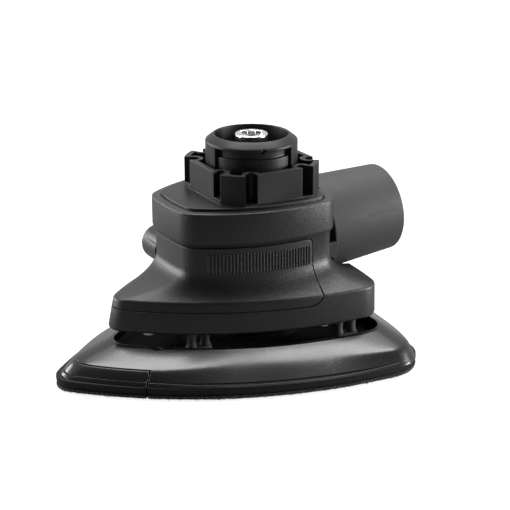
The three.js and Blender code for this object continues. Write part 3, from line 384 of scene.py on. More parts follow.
# ---------------------------------------------------------------- solids
class Form:
    """A closed solid. Forms are joined with +, cut with -, and & keeps what two of them share."""

    def __init__(self, mesh):
        self.mesh = mesh

    @classmethod
    def of(cls, points, faces):
        mesh = bpy.data.meshes.new("form")
        mesh.from_pydata([tuple(point) for point in points], [], faces)
        work = bmesh.new()
        work.from_mesh(mesh)
        bmesh.ops.recalc_face_normals(work, faces=work.faces)
        work.to_mesh(mesh)
        work.free()
        return cls(mesh)

    def moved(self, matrix):
        copy = self.mesh.copy()
        copy.transform(matrix)
        return Form(copy)

    def modified(self, kind, **settings):
        """The form after one modifier."""
        holder = bpy.data.objects.new("form", self.mesh)
        bpy.context.scene.collection.objects.link(holder)
        modifier = holder.modifiers.new("modifier", kind)
        for key, value in settings.items():
            setattr(modifier, key, value)
        result = bpy.data.meshes.new_from_object(holder.evaluated_get(bpy.context.evaluated_depsgraph_get()))
        bpy.data.objects.remove(holder)
        return Form(result)

    def combined(self, other, operation):
        tool = bpy.data.objects.new("tool", other.mesh)
        bpy.context.scene.collection.objects.link(tool)
        result = self.modified("BOOLEAN", operation=operation, solver="MANIFOLD", object=tool)
        bpy.data.objects.remove(tool)
        if not result.mesh.polygons:
            raise RuntimeError(f"nothing is left after the solids were combined by {operation}")
        return result

    def rounded(self, width):
        return self.modified("BEVEL", width=width, segments=3, limit_method="ANGLE",
                             angle_limit=math.radians(40), use_clamp_overlap=True, miter_outer="MITER_ARC")

    def __add__(self, other):
        return self.combined(other, "UNION")

    def __sub__(self, other):
        return self.combined(other, "DIFFERENCE")

    def __and__(self, other):
        return self.combined(other, "INTERSECT")


def cut(form, tools):
    for tool in tools:
        form = form - tool
    return form


def bent(start, corner, end, t):
    """The place at t on the curve from start to end that a corner pulls."""
    return start * (1 - t) ** 2 + corner * 2 * t * (1 - t) + end * t**2


def loft(layers):
    """The solid through a stack of [outline, height] layers with the same number of points."""
    count = len(layers[0][0])
    points = [(x, y, height) for outline, height in layers for x, y in outline]
    faces = []
    for layer in range(len(layers) - 1):
        base = layer * count
        for i in range(count):
            j = (i + 1) % count
            faces.append((base + i, base + j, base + j + count, base + i + count))
    last = (len(layers) - 1) * count
    faces.append(tuple(reversed(range(count))))
    faces.append(tuple(range(last, last + count)))
    return Form.of(points, faces)


def slab(outline, bottom, top):
    return loft([[outline, bottom], [outline, top]])


def rectangle(x0, x1, y0, y1):
    return [(x0, y0), (x1, y0), (x1, y1), (x0, y1)]


def block(xs, ys, zs):
    return slab(rectangle(*xs, *ys), *zs)


def polar(radius, angle):
    return radius * math.cos(angle), radius * math.sin(angle)


def rod(radius, bottom, top, x=0.0, y=0.0, sides=48):
    """An upright cylinder."""
    circle = [(x + radius * math.cos(TURN * i / sides), y + radius * math.sin(TURN * i / sides))
              for i in range(sides)]
    return slab(circle, bottom, top)


def softened(profile, steps):
    """The line of a closed profile of [radius, height, rounding] points, with its corners rounded."""
    count, result = len(profile), []
    for i, (x, y, rounding) in enumerate(profile):
        here = Vector((x, y))
        to_last = Vector(profile[i - 1][:2]) - here
        to_next = Vector(profile[(i + 1) % count][:2]) - here
        reach = min(rounding, 0.45 * to_last.length, 0.45 * to_next.length)
        if reach < 0.01:
            result.append(tuple(here))
            continue
        first, last = here + to_last.normalized() * reach, here + to_next.normalized() * reach
        result += [tuple(bent(first, here, last, step / steps)) for step in range(steps + 1)]
    return result


def lathe(profile, steps, sides=96):
    """The solid of revolution about Z of a profile, softened, that keeps off the axis."""
    profile = softened(profile, steps)
    count = len(profile)
    points, faces = [], []
    for i in range(sides):
        points += [(*polar(r, TURN * i / sides), z) for r, z in profile]
        here, there = i * count, ((i + 1) % sides) * count
        for k in range(count):
            after = (k + 1) % count
            faces.append((here + k, there + k, there + after, here + after))
    return Form.of(points, faces)


def full_lathe(profile, core, steps, sides=96):
    """A solid of revolution whose middle a rod fills, from the profile's first height to its last."""
    return lathe(profile, steps, sides) + rod(core, profile[0][1], profile[-1][1])


def rounded_top(inset, top, soft):
    """Layers that round the upper edge of the band's outline."""
    return [[band_outline(inset + soft * (1 - math.cos(i * math.pi / 8))),
             top - soft * (1 - math.sin(i * math.pi / 8))] for i in range(5)]


def on_outlet(form):
    """A form built along Z, laid on the outlet's axis."""
    return form.moved(shift(0, 0, outlet_height) @ turning(math.pi / 2 - outlet_tilt, "Y"))


# ---------------------------------------------------------------- finishes
class Value:
    """A node's output that arithmetic can be written on."""

    def __init__(self, graph, socket):
        self.graph, self.socket = graph, socket

    def combined(self, operation, first, second):
        return self.graph.node("ShaderNodeMath", {"operation": operation}, {0: first, 1: second})

    def __add__(self, other):
        return self.combined("ADD", self, other)

    def __radd__(self, other):
        return self.combined("ADD", other, self)

    def __sub__(self, other):
        return self.combined("SUBTRACT", self, other)

    def __rsub__(self, other):
        return self.combined("SUBTRACT", other, self)

    def __mul__(self, other):
        return self.combined("MULTIPLY", self, other)

    def __rmul__(self, other):
        return self.combined("MULTIPLY", other, self)

    def or_more(self, other):
        return self.combined("MAXIMUM", self, other)

    def within(self, low, high, to_low=0.0, to_high=1.0):
        """The stretch from low to high, spread smoothly over another stretch and held at its ends."""
        return self.graph.node(
            "ShaderNodeMapRange", {"interpolation_type": "SMOOTHSTEP"},
            {"Value": self, "From Min": low, "From Max": high, "To Min": to_low, "To Max": to_high})


class Graph:
    """The node tree of a material or a world, emptied and under construction."""

    def __init__(self, owner):
        owner.use_nodes = True
        self.tree = owner.node_tree
        self.tree.nodes.clear()

    def node(self, kind, settings=None, inputs=None, output=0):
        made = self.tree.nodes.new(kind)
        for key, value in (settings or {}).items():
            setattr(made, key, value)
        for key, value in (inputs or {}).items():
            if isinstance(value, Value):
                self.tree.links.new(value.socket, made.inputs[key])
            else:
                made.inputs[key].default_value = value
        return Value(self, made.outputs[output]) if made.outputs else None

    def facing(self, first, second):
        """The cosine of the angle between two directions."""
        return self.node("ShaderNodeVectorMath", {"operation": "DOT_PRODUCT"}, {0: first, 1: second}, "Value")

    def ray(self, kind):
        return self.node("ShaderNodeLightPath", output=f"Is {kind} Ray")

    def ended(self, shader, kind="ShaderNodeOutputMaterial"):
        self.node(kind, {}, {"Surface": shader})


class Finish(Graph):
    """A procedural material under construction. Sizes and depths are in metres."""

    def __init__(self, name):
        self.material = bpy.data.materials.new(name)
        super().__init__(self.material)
        self.place = self.node("ShaderNodeTexCoord", output="Object")

    def stretched(self, scale, turn=(0.0, 0.0, 0.0)):
        return self.node("ShaderNodeMapping", {}, {"Vector": self.place, "Scale": scale, "Rotation": turn})

    def noise(self, size, detail=3.0, roughness=0.55, place=None):
        """Noise whose features are about that size."""
        return self.node("ShaderNodeTexNoise", {}, {
            "Vector": place or self.place, "Scale": 1 / size, "Detail": detail, "Roughness": roughness})

    def cells(self, size):
        return self.node("ShaderNodeTexVoronoi", {}, {"Vector": self.place, "Scale": 1 / size}, "Distance")

    def blended(self, share, first, second):
        """A colour between two, by a share of the second."""
        return self.node("ShaderNodeMix", {"data_type": "RGBA"}, {0: share, 6: first, 7: second}, 2)

    def edges(self, radius):
        """How near a point is to a sharp edge, and the normal rounded over that edge."""
        rounded = self.node("ShaderNodeBevel", {"samples": 6}, {"Radius": radius})
        normal = self.node("ShaderNodeNewGeometry", output="Normal")
        return (1 - self.facing(rounded, normal)).within(0.02, 0.3), rounded

    def relief(self, height, depth, normal=None):
        inputs = {"Height": height, "Distance": depth, "Strength": 1.0}
        if normal is not None:
            inputs["Normal"] = normal
        return self.node("ShaderNodeBump", {}, inputs)

    def surface(self, **sockets):
        self.ended(self.node("ShaderNodeBsdfPrincipled", {},
                             {key.replace("_", " "): value for key, value in sockets.items()}))
        return self.material


def shade(colour, factor=1.0):
    return (*(channel * factor for channel in colour[:3]), 1.0)


def moulded_plastic(name, colour, roughness, grain, depth, specular, rounding=0.0004, wear=0.5):
    """Moulded plastic with a spark-eroded grain, faint flow marks and paler worn edges."""
    finish = Finish(name)
    edge, rounded = finish.edges(rounding)
    flow = finish.noise(0.022, 2.0)
    strokes = finish.stretched((1.0, 0.25, 1.0), (0.4, 0.2, 0.7))
    scuffs = finish.noise(0.0016, 4.0, 0.7, strokes).within(0.6, 0.8)
    pits = finish.noise(grain, 2.0, 0.6)
    dust = finish.noise(0.0009, 2.0, 0.8).within(0.62, 0.8)
    tone = finish.blended(flow.within(0.3, 0.7), shade(colour, 0.86), shade(colour, 1.14))
    tone = finish.blended((pits.within(0.35, 0.75) * 0.35) + (dust * 0.2), tone, shade(colour, 1.9))
    tone = finish.blended(edge * wear, tone, shade(colour, 2.6))
    rough = (roughness + (pits.within(0.3, 0.7) * 0.1)) + (flow.within(0.3, 0.7) * 0.05) + (scuffs * 0.06)
    return finish.surface(Base_Color=tone, Roughness=rough, Specular_IOR_Level=specular,
                          Normal=finish.relief(pits, depth, rounded))


def bright_metal(name, colour, roughness, brushing):
    """Turned or plated metal with fine circular tool marks and small dull spots."""
    finish = Finish(name)
    edge, rounded = finish.edges(0.0003)
    marks = finish.noise(0.0004, 2.0, 0.6, finish.stretched((1.0, 1.0, 6.0)))
    spots = finish.noise(0.002, 4.0, 0.7).within(0.55, 0.8)
    tone = finish.blended(spots * 0.4, shade(colour), shade(colour, 0.72))
    tone = finish.blended(edge * 0.5, tone, shade(colour, 1.15))
    rough = (roughness + marks.within(0.3, 0.7) * brushing) + spots * 0.12
    return finish.surface(Base_Color=tone, Roughness=rough, Metallic=1.0,
                          Normal=finish.relief(marks, 0.00002, rounded))


def cast_metal(name, colour):
    finish = Finish(name)
    edge, rounded = finish.edges(0.0005)
    skin = finish.noise(0.0009, 4.0, 0.65)
    stain = finish.noise(0.012, 3.0).within(0.35, 0.7)
    tone = finish.blended(stain * 0.5, shade(colour), shade(colour, 0.65))
    tone = finish.blended(edge * 0.6, tone, shade(colour, 1.4))
    return finish.surface(Base_Color=tone, Roughness=0.42 + skin.within(0.3, 0.7) * 0.2, Metallic=0.9,
                          Normal=finish.relief(skin, 0.00008, rounded))


def rubber(name, colour):
    finish = Finish(name)
    edge, rounded = finish.edges(0.0004)
    bloom = finish.noise(0.004, 3.0).within(0.4, 0.7)
    grain = finish.noise(0.0004, 2.0)
    tone = finish.blended(bloom * 0.5, shade(colour), shade(colour, 1.5))
    tone = finish.blended(edge * 0.4, tone, shade(colour, 1.7))
    return finish.surface(Base_Color=tone, Roughness=0.62 + grain * 0.15, Specular_IOR_Level=0.4,
                          Normal=finish.relief(grain, 0.00003, rounded))


def foam(name, colour):
    """Closed-cell foam: small round cells, some of them cut open."""
    finish = Finish(name)
    cells = finish.cells(0.0007)
    coarse = finish.cells(0.0016)
    mottle = finish.noise(0.006, 3.0).within(0.35, 0.7)
    tone = finish.blended(cells.within(0.1, 0.45), shade(colour, 0.45), shade(colour, 1.25))
    tone = finish.blended(mottle * 0.5, tone, shade(colour, 1.8))
    return finish.surface(Base_Color=tone, Roughness=0.88 + mottle * 0.08, Specular_IOR_Level=0.2,
                          Normal=finish.relief(cells * 0.7 + coarse * 0.3, 0.00022))


def hook_weave(name, colour):
    """The hook sheet: rows of stiff loops on a woven ground."""
    finish = Finish(name)
    rows, columns = (
        finish.node("ShaderNodeTexWave", {"wave_type": "BANDS", "bands_direction": across}, {
            "Vector": finish.place, "Scale": 240.0, "Distortion": 1.2, "Detail": 2.0, "Detail Scale": 2.0})
        for across in "XY")
    loops = finish.noise(0.0005, 3.0, 0.7)
    lit = (rows * columns) + loops.within(0.5, 0.75) * 0.6
    tone = finish.blended(lit.within(0.1, 1.0), shade(colour, 0.4), shade(colour, 2.2))
    return finish.surface(Base_Color=tone, Roughness=0.7 + loops * 0.2, Specular_IOR_Level=0.35,
                          Normal=finish.relief(lit, 0.0002))


def drawn_plastic(name, colour, roughness):
    """Extruded plastic with faint marks along the outlet's axis."""
    finish = Finish(name)
    edge, rounded = finish.edges(0.0004)
    drawn = finish.noise(0.0005, 3.0, 0.6, finish.stretched((0.06, 1.0, 1.0), (0.0, outlet_tilt, 0.0)))
    grain = finish.noise(0.0003, 2.0)
    cloud = finish.noise(0.02, 3.0).within(0.3, 0.7)
    tone = finish.blended(drawn.within(0.3, 0.7), shade(colour, 0.85), shade(colour, 1.15))
    tone = finish.blended(cloud * 0.4, tone, shade(colour, 1.2))
    tone = finish.blended(edge * 0.5, tone, shade(colour, 1.9))
    return finish.surface(Base_Color=tone, Roughness=roughness + drawn.within(0.3, 0.7) * 0.12,
                          Specular_IOR_Level=0.4,
                          Normal=finish.relief(drawn * 0.6 + grain * 0.4, 0.00003, rounded))


# ---------------------------------------------------------------- settings
def length(name, description, default_mm, high=200.0):
    return bpy.props.FloatProperty(name=name, description=description, default=default_mm * MM, min=0.0,
                                   max=high * MM, unit="LENGTH", precision=4)


def number(name, description, default, least):
    return bpy.props.IntProperty(name=name, description=description, default=default, min=least)


def tint(name, description, colour):
    return bpy.props.FloatVectorProperty(name=name, description=description, default=colour, size=3, min=0.0,
                                         max=1.0, subtype="COLOR")


def share(name, description, default):
    return bpy.props.FloatProperty(name=name, description=description, default=default, min=0.0, max=1.0,
                                   subtype="FACTOR")


def power(name, description, default):
    return bpy.props.FloatProperty(name=name, description=description, default=default, min=0.0, unit="POWER")


class HousingSettings(bpy.types.PropertyGroup):
    wall: length("Wall", "Thickness of the moulded shell", 2.4)
    edge: length("Skirt edge", "Rounding of the skirt's lower edge", 1.0)
    ridge_edge: length("Ridge edge", "Rounding of the ridge between the skirt and the slope", 0.8)
    seam: length("Seam", "Width of the seam round the front cover", 0.3)
    rib_count: number("Grip ribs", "Number of ribs on each side", 33, 1)
    rib_pitch: length("Rib pitch", "Distance between two ribs", 1.14)
    rib_width: length("Rib width", "Width of one rib", 0.6)
    colour: tint("Housing colour", "Colour of the moulded housing", (0.0055, 0.0055, 0.0058))
    roughness: share("Housing roughness", "Dullness of the housing's grain", 0.34)


class CouplingSettings(bpy.types.PropertyGroup):
    collar_wall: length("Collar wall", "Thickness of the wall round the neck", 2.0)
    slot_width: length("Slot width", "Width of the slots in the collar's faces", 4.0)
    neck_rim: length("Neck rim", "Flat width round the mouth of the neck", 0.7)
    lobes: number("Socket lobes", "Lobes of the drive socket", 6, 3)
    colour: tint("Coupling colour", "Colour of the coupling", (0.005, 0.005, 0.0053))
    roughness: share("Coupling roughness", "Dullness of the coupling", 0.36)
    chrome: tint("Plating colour", "Colour of the plated socket", (0.62, 0.62, 0.62))


class PlatenSettings(bpy.types.PropertyGroup):
    lip: length("Rim width", "Width of the platen's upper rim", 1.2)
    wall: length("Platen wall", "Thickness of the domed wall", 2.2)
    colour: tint("Platen colour", "Colour of the platen", (0.0055, 0.0055, 0.0058))
    roughness: share("Platen roughness", "Dullness of the platen", 0.14)
    foam_colour: tint("Foam colour", "Colour of the foam pad", (0.008, 0.008, 0.008))
    hook_colour: tint("Hook colour", "Colour of the hook sheet", (0.03, 0.03, 0.03))
    leg_colour: tint("Leg colour", "Colour of the rubber legs", (0.03, 0.03, 0.03))
    tufts: number("Hooks", "Number of separate hooks modelled on the sole", 2600, 0)


class OutletSettings(bpy.types.PropertyGroup):
    start: length("Adapter start", "Distance of the tube's near end from the drive axis", 25.4)
    start_radius: length("Near radius", "Outer radius at the housing", 18.0)
    end_radius: length("Far radius", "Outer radius at the hose end", 16.6)
    end_wall: length("Tube wall", "Thickness at the hose end", 2.0)
    colour: tint("Tube colour", "Colour of the outlet tube", (0.021, 0.021, 0.0214))
    roughness: share("Tube roughness", "Dullness of the outlet tube", 0.6)


class StageSettings(bpy.types.PropertyGroup):
    floor_colour: tint("Floor colour", "Colour of the plain floor", (0.25, 0.25, 0.25))
    left_power: power("Left panel", "Power of the wide panel on the left", 7.5)
    right_power: power("Right panel", "Power of the narrow panel on the right", 9.5)
    strip_power: power("Strip", "Power of the narrow strip overhead", 8.6)
    top_power: power("Top panel", "Power of the wide panel above the backdrop", 2.8)
    azimuth: bpy.props.FloatProperty(name="Azimuth", description="Direction the camera looks from",
                                     default=math.radians(-29.6), subtype="ANGLE")
    elevation: bpy.props.FloatProperty(name="Elevation", description="Height of the camera above the object",
                                       default=math.radians(19.4), subtype="ANGLE")
    distance: length("Distance", "Distance of the camera from the point it looks at", 518.5, high=5000)
    lens: bpy.props.FloatProperty(name="Lens", description="Focal length", default=98.82, unit="CAMERA")


# ---------------------------------------------------------------- pieces
finishes = {}  # the material of each slot


def shown(name, form, body, slot, node):
    """Adds a form to the scene as a piece that rides on a body and stands for a node of the frame."""
    mesh = form.mesh
    mesh.name = name
    mesh.transform(Matrix.Scale(MM, 4))
    for polygon in mesh.polygons:
        polygon.use_smooth = True
    mesh.set_sharp_from_angle(angle=SHARP_ANGLE)
    mesh.materials.clear()
    mesh.materials.append(finishes[slot])
    piece = bpy.data.objects.new(name, mesh)
    bpy.context.scene.collection.objects.link(piece)
    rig.ride(piece, body)
    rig.slot(piece, slot)
    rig.replaces(piece, node)
    return piece


def flare_layers(inset, steps):
    """The body from the ridge to the band: a straight slope, a bend and an upright neck."""
    foot, neck = boat(RIDGE, inset), band_outline(BAND_OVERHANG + inset)
    start = ridge - inset * FLARE_SINK
    layers = [[foot, start]]
    for i in range(steps + 1):
        before = FLARE_BEND * (1 - i / steps) ** 2
        height = start + FLARE_RISE * (1 - before) + FLARE_UPRIGHT * (i / steps) ** 2
        layers.append([between(foot, neck, 1 - before), height])
    return layers + [[neck, band_bottom]]


def housing_outside(settings):
    """The closed outside of the skirt and the slope, with its lower edge and its ridge rounded."""
    edge, soft = mm(settings.edge), mm(settings.ridge_edge)
    layers = []
    for i in range(6):
        angle = i * math.pi / 10
        outline = boat(SKIRT, edge * (1 - math.sin(angle)))
        layers.append([outline, skirt_bottom + edge * (1 - math.cos(angle))])
    flare = flare_layers(0, 28)
    (corner, _), (slope, slope_height) = flare[:2]
    below = between(boat(SKIRT), corner, 1 - soft / (ridge - (skirt_bottom + edge)))
    above = between(corner, slope, RIDGE_REACH)
    above_height = ridge + (slope_height - ridge) * RIDGE_REACH
    for i in range(7):
        t = i / 6
        outline = between(between(below, corner, t), between(corner, above, t), t)
        layers.append([outline, bent(ridge - soft, ridge, above_height, t)])
    return loft(layers + flare[1:])


def housing_hollow(settings):
    wall = mm(settings.wall)
    return loft([[boat(SKIRT, wall), skirt_bottom - 1], *flare_layers(wall, 12)])


def housing_band():
    chamfer_top = band_bottom + BAND_CHAMFER
    return loft([
        [band_outline(BAND_OVERHANG), band_bottom],
        [band_outline(0.12), chamfer_top - 0.35],
        [band_outline(0.03), chamfer_top],
        [band_outline(), chamfer_top + 0.4],
        *rounded_top(0, band_top, BAND_EDGE),
    ])


def cover_region(grow):
    """The front cover's side view, extruded across the body; grow widens it to cut the housing."""
    right, low, high = COVER_REAR + grow, cover_bottom - grow, cover_top + grow
    outline = [(-BEYOND_TIP, low)]
    for centre, radius, start in ((low + COVER_CORNER, COVER_CORNER, -math.pi / 2),
                                  (high - COVER_TOP_CORNER, COVER_TOP_CORNER, 0.0)):
        for i in range(9):
            x, y = polar(radius, start + i * math.pi / 16)
            outline.append((right - radius + x, centre + y))
    outline.append((-BEYOND_TIP, high))
    return slab(outline, -BEYOND_SIDE, BEYOND_SIDE).moved(turning(math.pi / 2, "X"))


class SANDER_OT_housing(bpy.types.Operator):
    """Build the main housing with its band, outlet cradle and spigot"""
    bl_idname = "sander.housing"
    bl_label = "Main housing"

    def execute(self, context):
        settings = context.scene.sander_housing
        finishes["housing_plastic"] = moulded_plastic(
            "housing_grain", settings.colour, settings.roughness, grain=0.00042, depth=0.00011, specular=0.4,
            rounding=0.0005, wear=0.35)
        wall = mm(settings.wall)
        opening = (
            slab(band_outline(BAND_OVERHANG + wall), band_bottom - 1, deck_bottom - LEDGE_DEPTH)
            + slab(band_outline(BAND_RIM + LEDGE_WIDTH), band_bottom, deck_bottom)
            + slab(band_outline(BAND_RIM), deck_bottom - FITTED_GAP, band_top + 1)
        )
        shell = self.shell(settings, context.scene.sander_outlet, opening)
        shell = shell + (self.spigot() - rod(FAN_ROOM, skirt_bottom, fan_top + 1) - opening)
        for way in (-1, 1):
            gusset = slab(GUSSET["outline"], -GUSSET["half"], GUSSET["half"])
            shell = shell + gusset.moved(shift(0, way * GUSSET["y"]) @ turning(math.pi / 2, "X"))
        for x, y in both_sides(POST_PLACES):
            low, high = base_plate_top + FITTED_GAP, base_plate_top + POST["height"]
            shell = shell + rod(POST["radius"], low, high, x, y, 24)
            low, high = base_plate_bottom - 1, base_plate_bottom + POST["hole_depth"]
            shell = shell - rod(POST["hole"], low, high, x, y, 24)
        shell = shell - on_outlet(rod(SPIGOT["bore"], SPIGOT["bore_start"], SPIGOT["end"] + 1, sides=64))
        shown("housing_shell", shell, "housing", "housing_plastic", "main_housing")
        return {"FINISHED"}

    @staticmethod
    def shell(settings, outlet, opening):
        """The hollow body, with a walled cradle that the outlet tube sits in, and without the front cover."""
        wall = mm(settings.wall)
        body = housing_outside(settings) + housing_band()
        seat, room = mm(outlet.start) - FITTED_GAP, mm(outlet.start_radius) + CRADLE_ROOM
        cradle = on_outlet(rod(room + wall, seat - wall, CRADLE_END)) & body
        shell = (body - housing_hollow(settings) - opening) + (cradle - opening)
        shell = shell - cover_region(mm(settings.seam))
        return shell - on_outlet(rod(room, seat, CRADLE_END + 2, sides=96))

    @staticmethod
    def spigot():
        """The tube that the outlet slides on, with a groove for its seal."""
        bore, radius, groove = SPIGOT["bore"], SPIGOT["radius"], SPIGOT["groove"]
        start, end = SPIGOT["start"], SPIGOT["end"]
        groove_start, groove_end = SPIGOT["groove_start"], SPIGOT["groove_end"]
        profile = [(bore, start), (radius, start), (radius, groove_start), (groove, groove_start),
                   (groove, groove_end), (radius, groove_end), (radius, end), (bore, end)]
        return on_outlet(lathe([(*point, SPIGOT["rounding"]) for point in profile], 3))


class SANDER_OT_cover(bpy.types.Operator):
    """Build the clip-on front cover with its grip ribs and side boss"""
    bl_idname = "sander.cover"
    bl_label = "Front cover"

    def execute(self, context):
        settings = context.scene.sander_housing
        cover = (housing_outside(settings) - housing_hollow(settings)) & cover_region(0)
        top, half = band_bottom - RIB["drop"], mm(settings.rib_width) / 2
        skin = loft(flare_layers(-RIB["proud"], 28)) - loft(flare_layers(RIB["root"], 12))
        for i in range(settings.rib_count):
            x = RIB["rear"] - i * mm(settings.rib_pitch)
            cover = cover + (block((x - half, x + half), (-30, 30), (top - RIB["height"], top)) & skin)
        inner, outer, radius = BOSS["inner"], BOSS["outer"], BOSS["radius"]
        boss = full_lathe([(0.5, inner, 0), (radius, inner, 0), (radius, outer, 1.0), (0.5, outer, 0)], 1, 5)
        hole = (rod(BOSS["hole"], inner + 1, outer + 1)
                + rod(BOSS["head"], outer - BOSS["head_depth"], outer + 1)
                + rod(BOSS["mouth"], outer - BOSS["mouth_depth"], outer + 1))
        axis = shift(BOSS["x"], 0, BOSS["z"]) @ turning(-math.pi / 2, "X")
        cover = (cover + boss.moved(axis)) - hole.moved(axis)
        shown("front_cover_shell", cover, "housing", "housing_plastic", "front_cover")
        return {"FINISHED"}


def collar_outline(inset=0.0):
    """A square with four flat faces, its corners rounded by one circle about the drive axis."""
    half, radius = COLLAR_FACET - inset, COLLAR_CORNER - inset
    start = math.acos(half / radius)
    turn = math.pi / 2 - 2 * start
    return [polar(radius, quarter * math.pi / 2 + start + turn * i / 8)
            for quarter in range(4) for i in range(9)]


SLOT_PULL = 1 - SLOT["inset"] / math.hypot(COLLAR_FACET, SLOT["along"])
SLOT_PLACES = [(sx * x * SLOT_PULL, sy * y * SLOT_PULL)
               for x, y in ((COLLAR_FACET, SLOT["along"]), (SLOT["along"], COLLAR_FACET))
               for sx in (-1, 1) for sy in (-1, 1)]


class SANDER_OT_coupling(bpy.types.Operator):
    """Build the coupling: deck, slotted collar, bayonet neck and plated socket"""
    bl_idname = "sander.coupling"
    bl_label = "Coupling"

    def execute(self, context):
        settings = context.scene.sander_coupling
        finishes["coupling_plastic"] = moulded_plastic(
            "coupling_satin", settings.colour, settings.roughness, grain=0.0005, depth=0.00004, specular=0.25,
            rounding=0.0005, wear=0.6)
        finishes["chrome"] = bright_metal("socket_plating", settings.chrome, 0.12, 0.08)
        self.collar(settings)
        self.neck(settings)
        self.socket(settings)
        return {"FINISHED"}

    @staticmethod
    def collar(settings):
        slot = mm(settings.slot_width) / 2
        envelope = slab(collar_outline(), deck_top - 1, collar_top)
        wall = envelope - slab(collar_outline(mm(settings.collar_wall)), deck_top - 2, collar_top + 1)
        for x, y in SLOT_PLACES:
            wall = wall + (rod(slot + SLOT["wall"], deck_top - 1, collar_top, x, y) & envelope)
        for x, y in SLOT_PLACES:
            foot = deck_top + (SLOT["end_foot"] if abs(x) > abs(y) else SLOT["side_foot"])
            out = slab(rectangle(0, SLOT["length"], -slot, slot), foot, collar_top + 1)
            out = out.moved(shift(x, y) @ turning(math.atan2(y, x), "Z"))
            wall = wall - out - rod(slot, foot, collar_top + 1, x, y, 32)
        inset = BAND_RIM + FITTED_GAP
        deck = loft([[band_outline(inset), deck_bottom], *rounded_top(inset, deck_top, DECK_EDGE)])
        body = cut(deck + wall.rounded(DECK_EDGE),
                   [rod(DECK_SCREW, deck_bottom - 1, deck_top - 0.8, x, y, 24)
                    for x, y in both_sides(DECK_SCREW_PLACES)])
        body = body - rod(DECK_BORE, deck_bottom - 1, deck_top + 1)
        shown("coupling_collar_moulding", body, "housing", "coupling_plastic", "coupling_collar")

    @staticmethod
    def neck(settings):
        radius, waist, groove, mouth, spigot, bore = (
            NECK[key] for key in ("radius", "waist", "groove", "mouth", "spigot", "bore"))
        rim = mouth + mm(settings.neck_rim)
        spigot_bottom, bottom = deck_top - NECK["spigot_height"], deck_top + FITTED_GAP
        floor, flange = deck_top + NECK["floor"], neck_top - NECK["flange"]
        groove_bottom, bevel_bottom = flange - NECK["groove_height"], neck_top - NECK["bevel"]
        body = lathe([
            (bore, spigot_bottom, 0.2), (spigot, spigot_bottom, 0.2), (spigot, bottom, 0), (waist, bottom, 0),
            (waist, groove_bottom, 0.2), (groove, groove_bottom, 0.3), (groove, flange, 0.3),
            (radius, flange, 0.3), (radius, bevel_bottom, 0.9), (rim, neck_top, 0.5), (mouth, neck_top, 0.3),
            (mouth, floor, 0.6), (bore, floor, 0.2),
        ], 4, 144)
        for middle in KEY["middles"]:
            arc = [math.radians(middle - KEY["half_angle"] + 3 * i) for i in range(25)]
            outline = [polar(radius, angle) for angle in arc]
            outline += [polar(KEY["inner"], angle) for angle in reversed(arc)]
            body = body + slab(outline, bottom, flange + 0.35)
        notch = block((rim, radius + 1), (-NOTCH_HALF, NOTCH_HALF), (flange - 1, bevel_bottom))
        body = body - notch.moved(turning(math.radians(NOTCH_ANGLE), "Z"))
        shown("coupling_neck_moulding", body, "housing", "coupling_plastic", "coupling_neck")

    @staticmethod
    def socket(settings):
        radius, core = SOCKET["radius"], SOCKET["core"]
        body = full_lathe([(core, socket_bottom, 0), (radius, socket_bottom, 0.3), (radius, socket_top, 0.7),
                           (core, socket_top, 0)], core + 0.1, 5)
        body = body - rod(SOCKET["shaft"], socket_bottom - 1, shaft_top + FITTED_GAP)
        lobes, steps = settings.lobes, 20 * settings.lobes
        star = [polar(SOCKET["star"] + SOCKET["lobe"] * math.cos(lobes * angle), angle)
                for angle in (TURN * i / steps for i in range(steps))]
        mouth = [(x * SOCKET["mouth"], y * SOCKET["mouth"]) for x, y in star]
        body = body - loft([[star, socket_top - SOCKET["depth"]], [star, socket_top - 0.5],
                            [mouth, socket_top + 0.05], [mouth, socket_top + 1]])
        shown("drive_socket_plated", body, "spindle", "chrome", "drive_socket")


def eased(value):
    value = min(max(value, 0.0), 1.0)
    return value * value * (3 - 2 * value)


def shoulder(x):
    """How far out and how far up the dome turns from its slope to its side there, as shares of both."""
    nose, heel = eased((-x - 25) / 35), eased((x - 5) / 35)
    return 0.5 + 0.25 * nose + 0.28 * heel, 0.592 - 0.09 * nose - 0.04 * heel


def dome_layers(rim, base, bottom, top, steps):
    """The dome from its base to its rim: a gentle slope, a soft shoulder and a steeper side below it."""
    shoulders = [shoulder(x) for x, _ in base]
    layers = []
    for i in range(steps + 1):
        height = i / steps
        outline = []
        for (bx, by), (rx, ry), (out, up) in zip(base, rim, shoulders):
            side, slope = 1 - (1 - out) * height / up, out * (1 - height) / (1 - up)
            spread = (side + slope - math.hypot(side - slope, SHOULDER_SOFTNESS)) / 2
            spread = 1 if i == 0 else 0 if i == steps else min(max(spread, 0), 1)
            outline.append((rx + (bx - rx) * spread, ry + (by - ry) * spread))
        layers.append([outline, bottom + (top - bottom) * height])
    return layers


def tip_region(grow, bottom, top):
    """The V-shaped region of the detail tip; grow widens it for the cut in the platen and the pads."""
    apex, side = TIP_APEX + grow / math.sin(TIP_ANGLE), PAD["tip"]
    back = apex - side / math.tan(TIP_ANGLE)
    return slab([(apex, 0), (back, side), (-BEYOND, side), (-BEYOND, -side), (back, -side)], bottom, top)


def in_tip(x, y, margin):
    return x < TIP_APEX - abs(y) / math.tan(TIP_ANGLE) - margin


def dust_holes(bottom, top):
    return [rod(DUST_HOLE, bottom, top, x, y, 40) for x, y in both_sides(DUST_PLACES)]


ON_PLATEN = shift(ORBIT, 0)


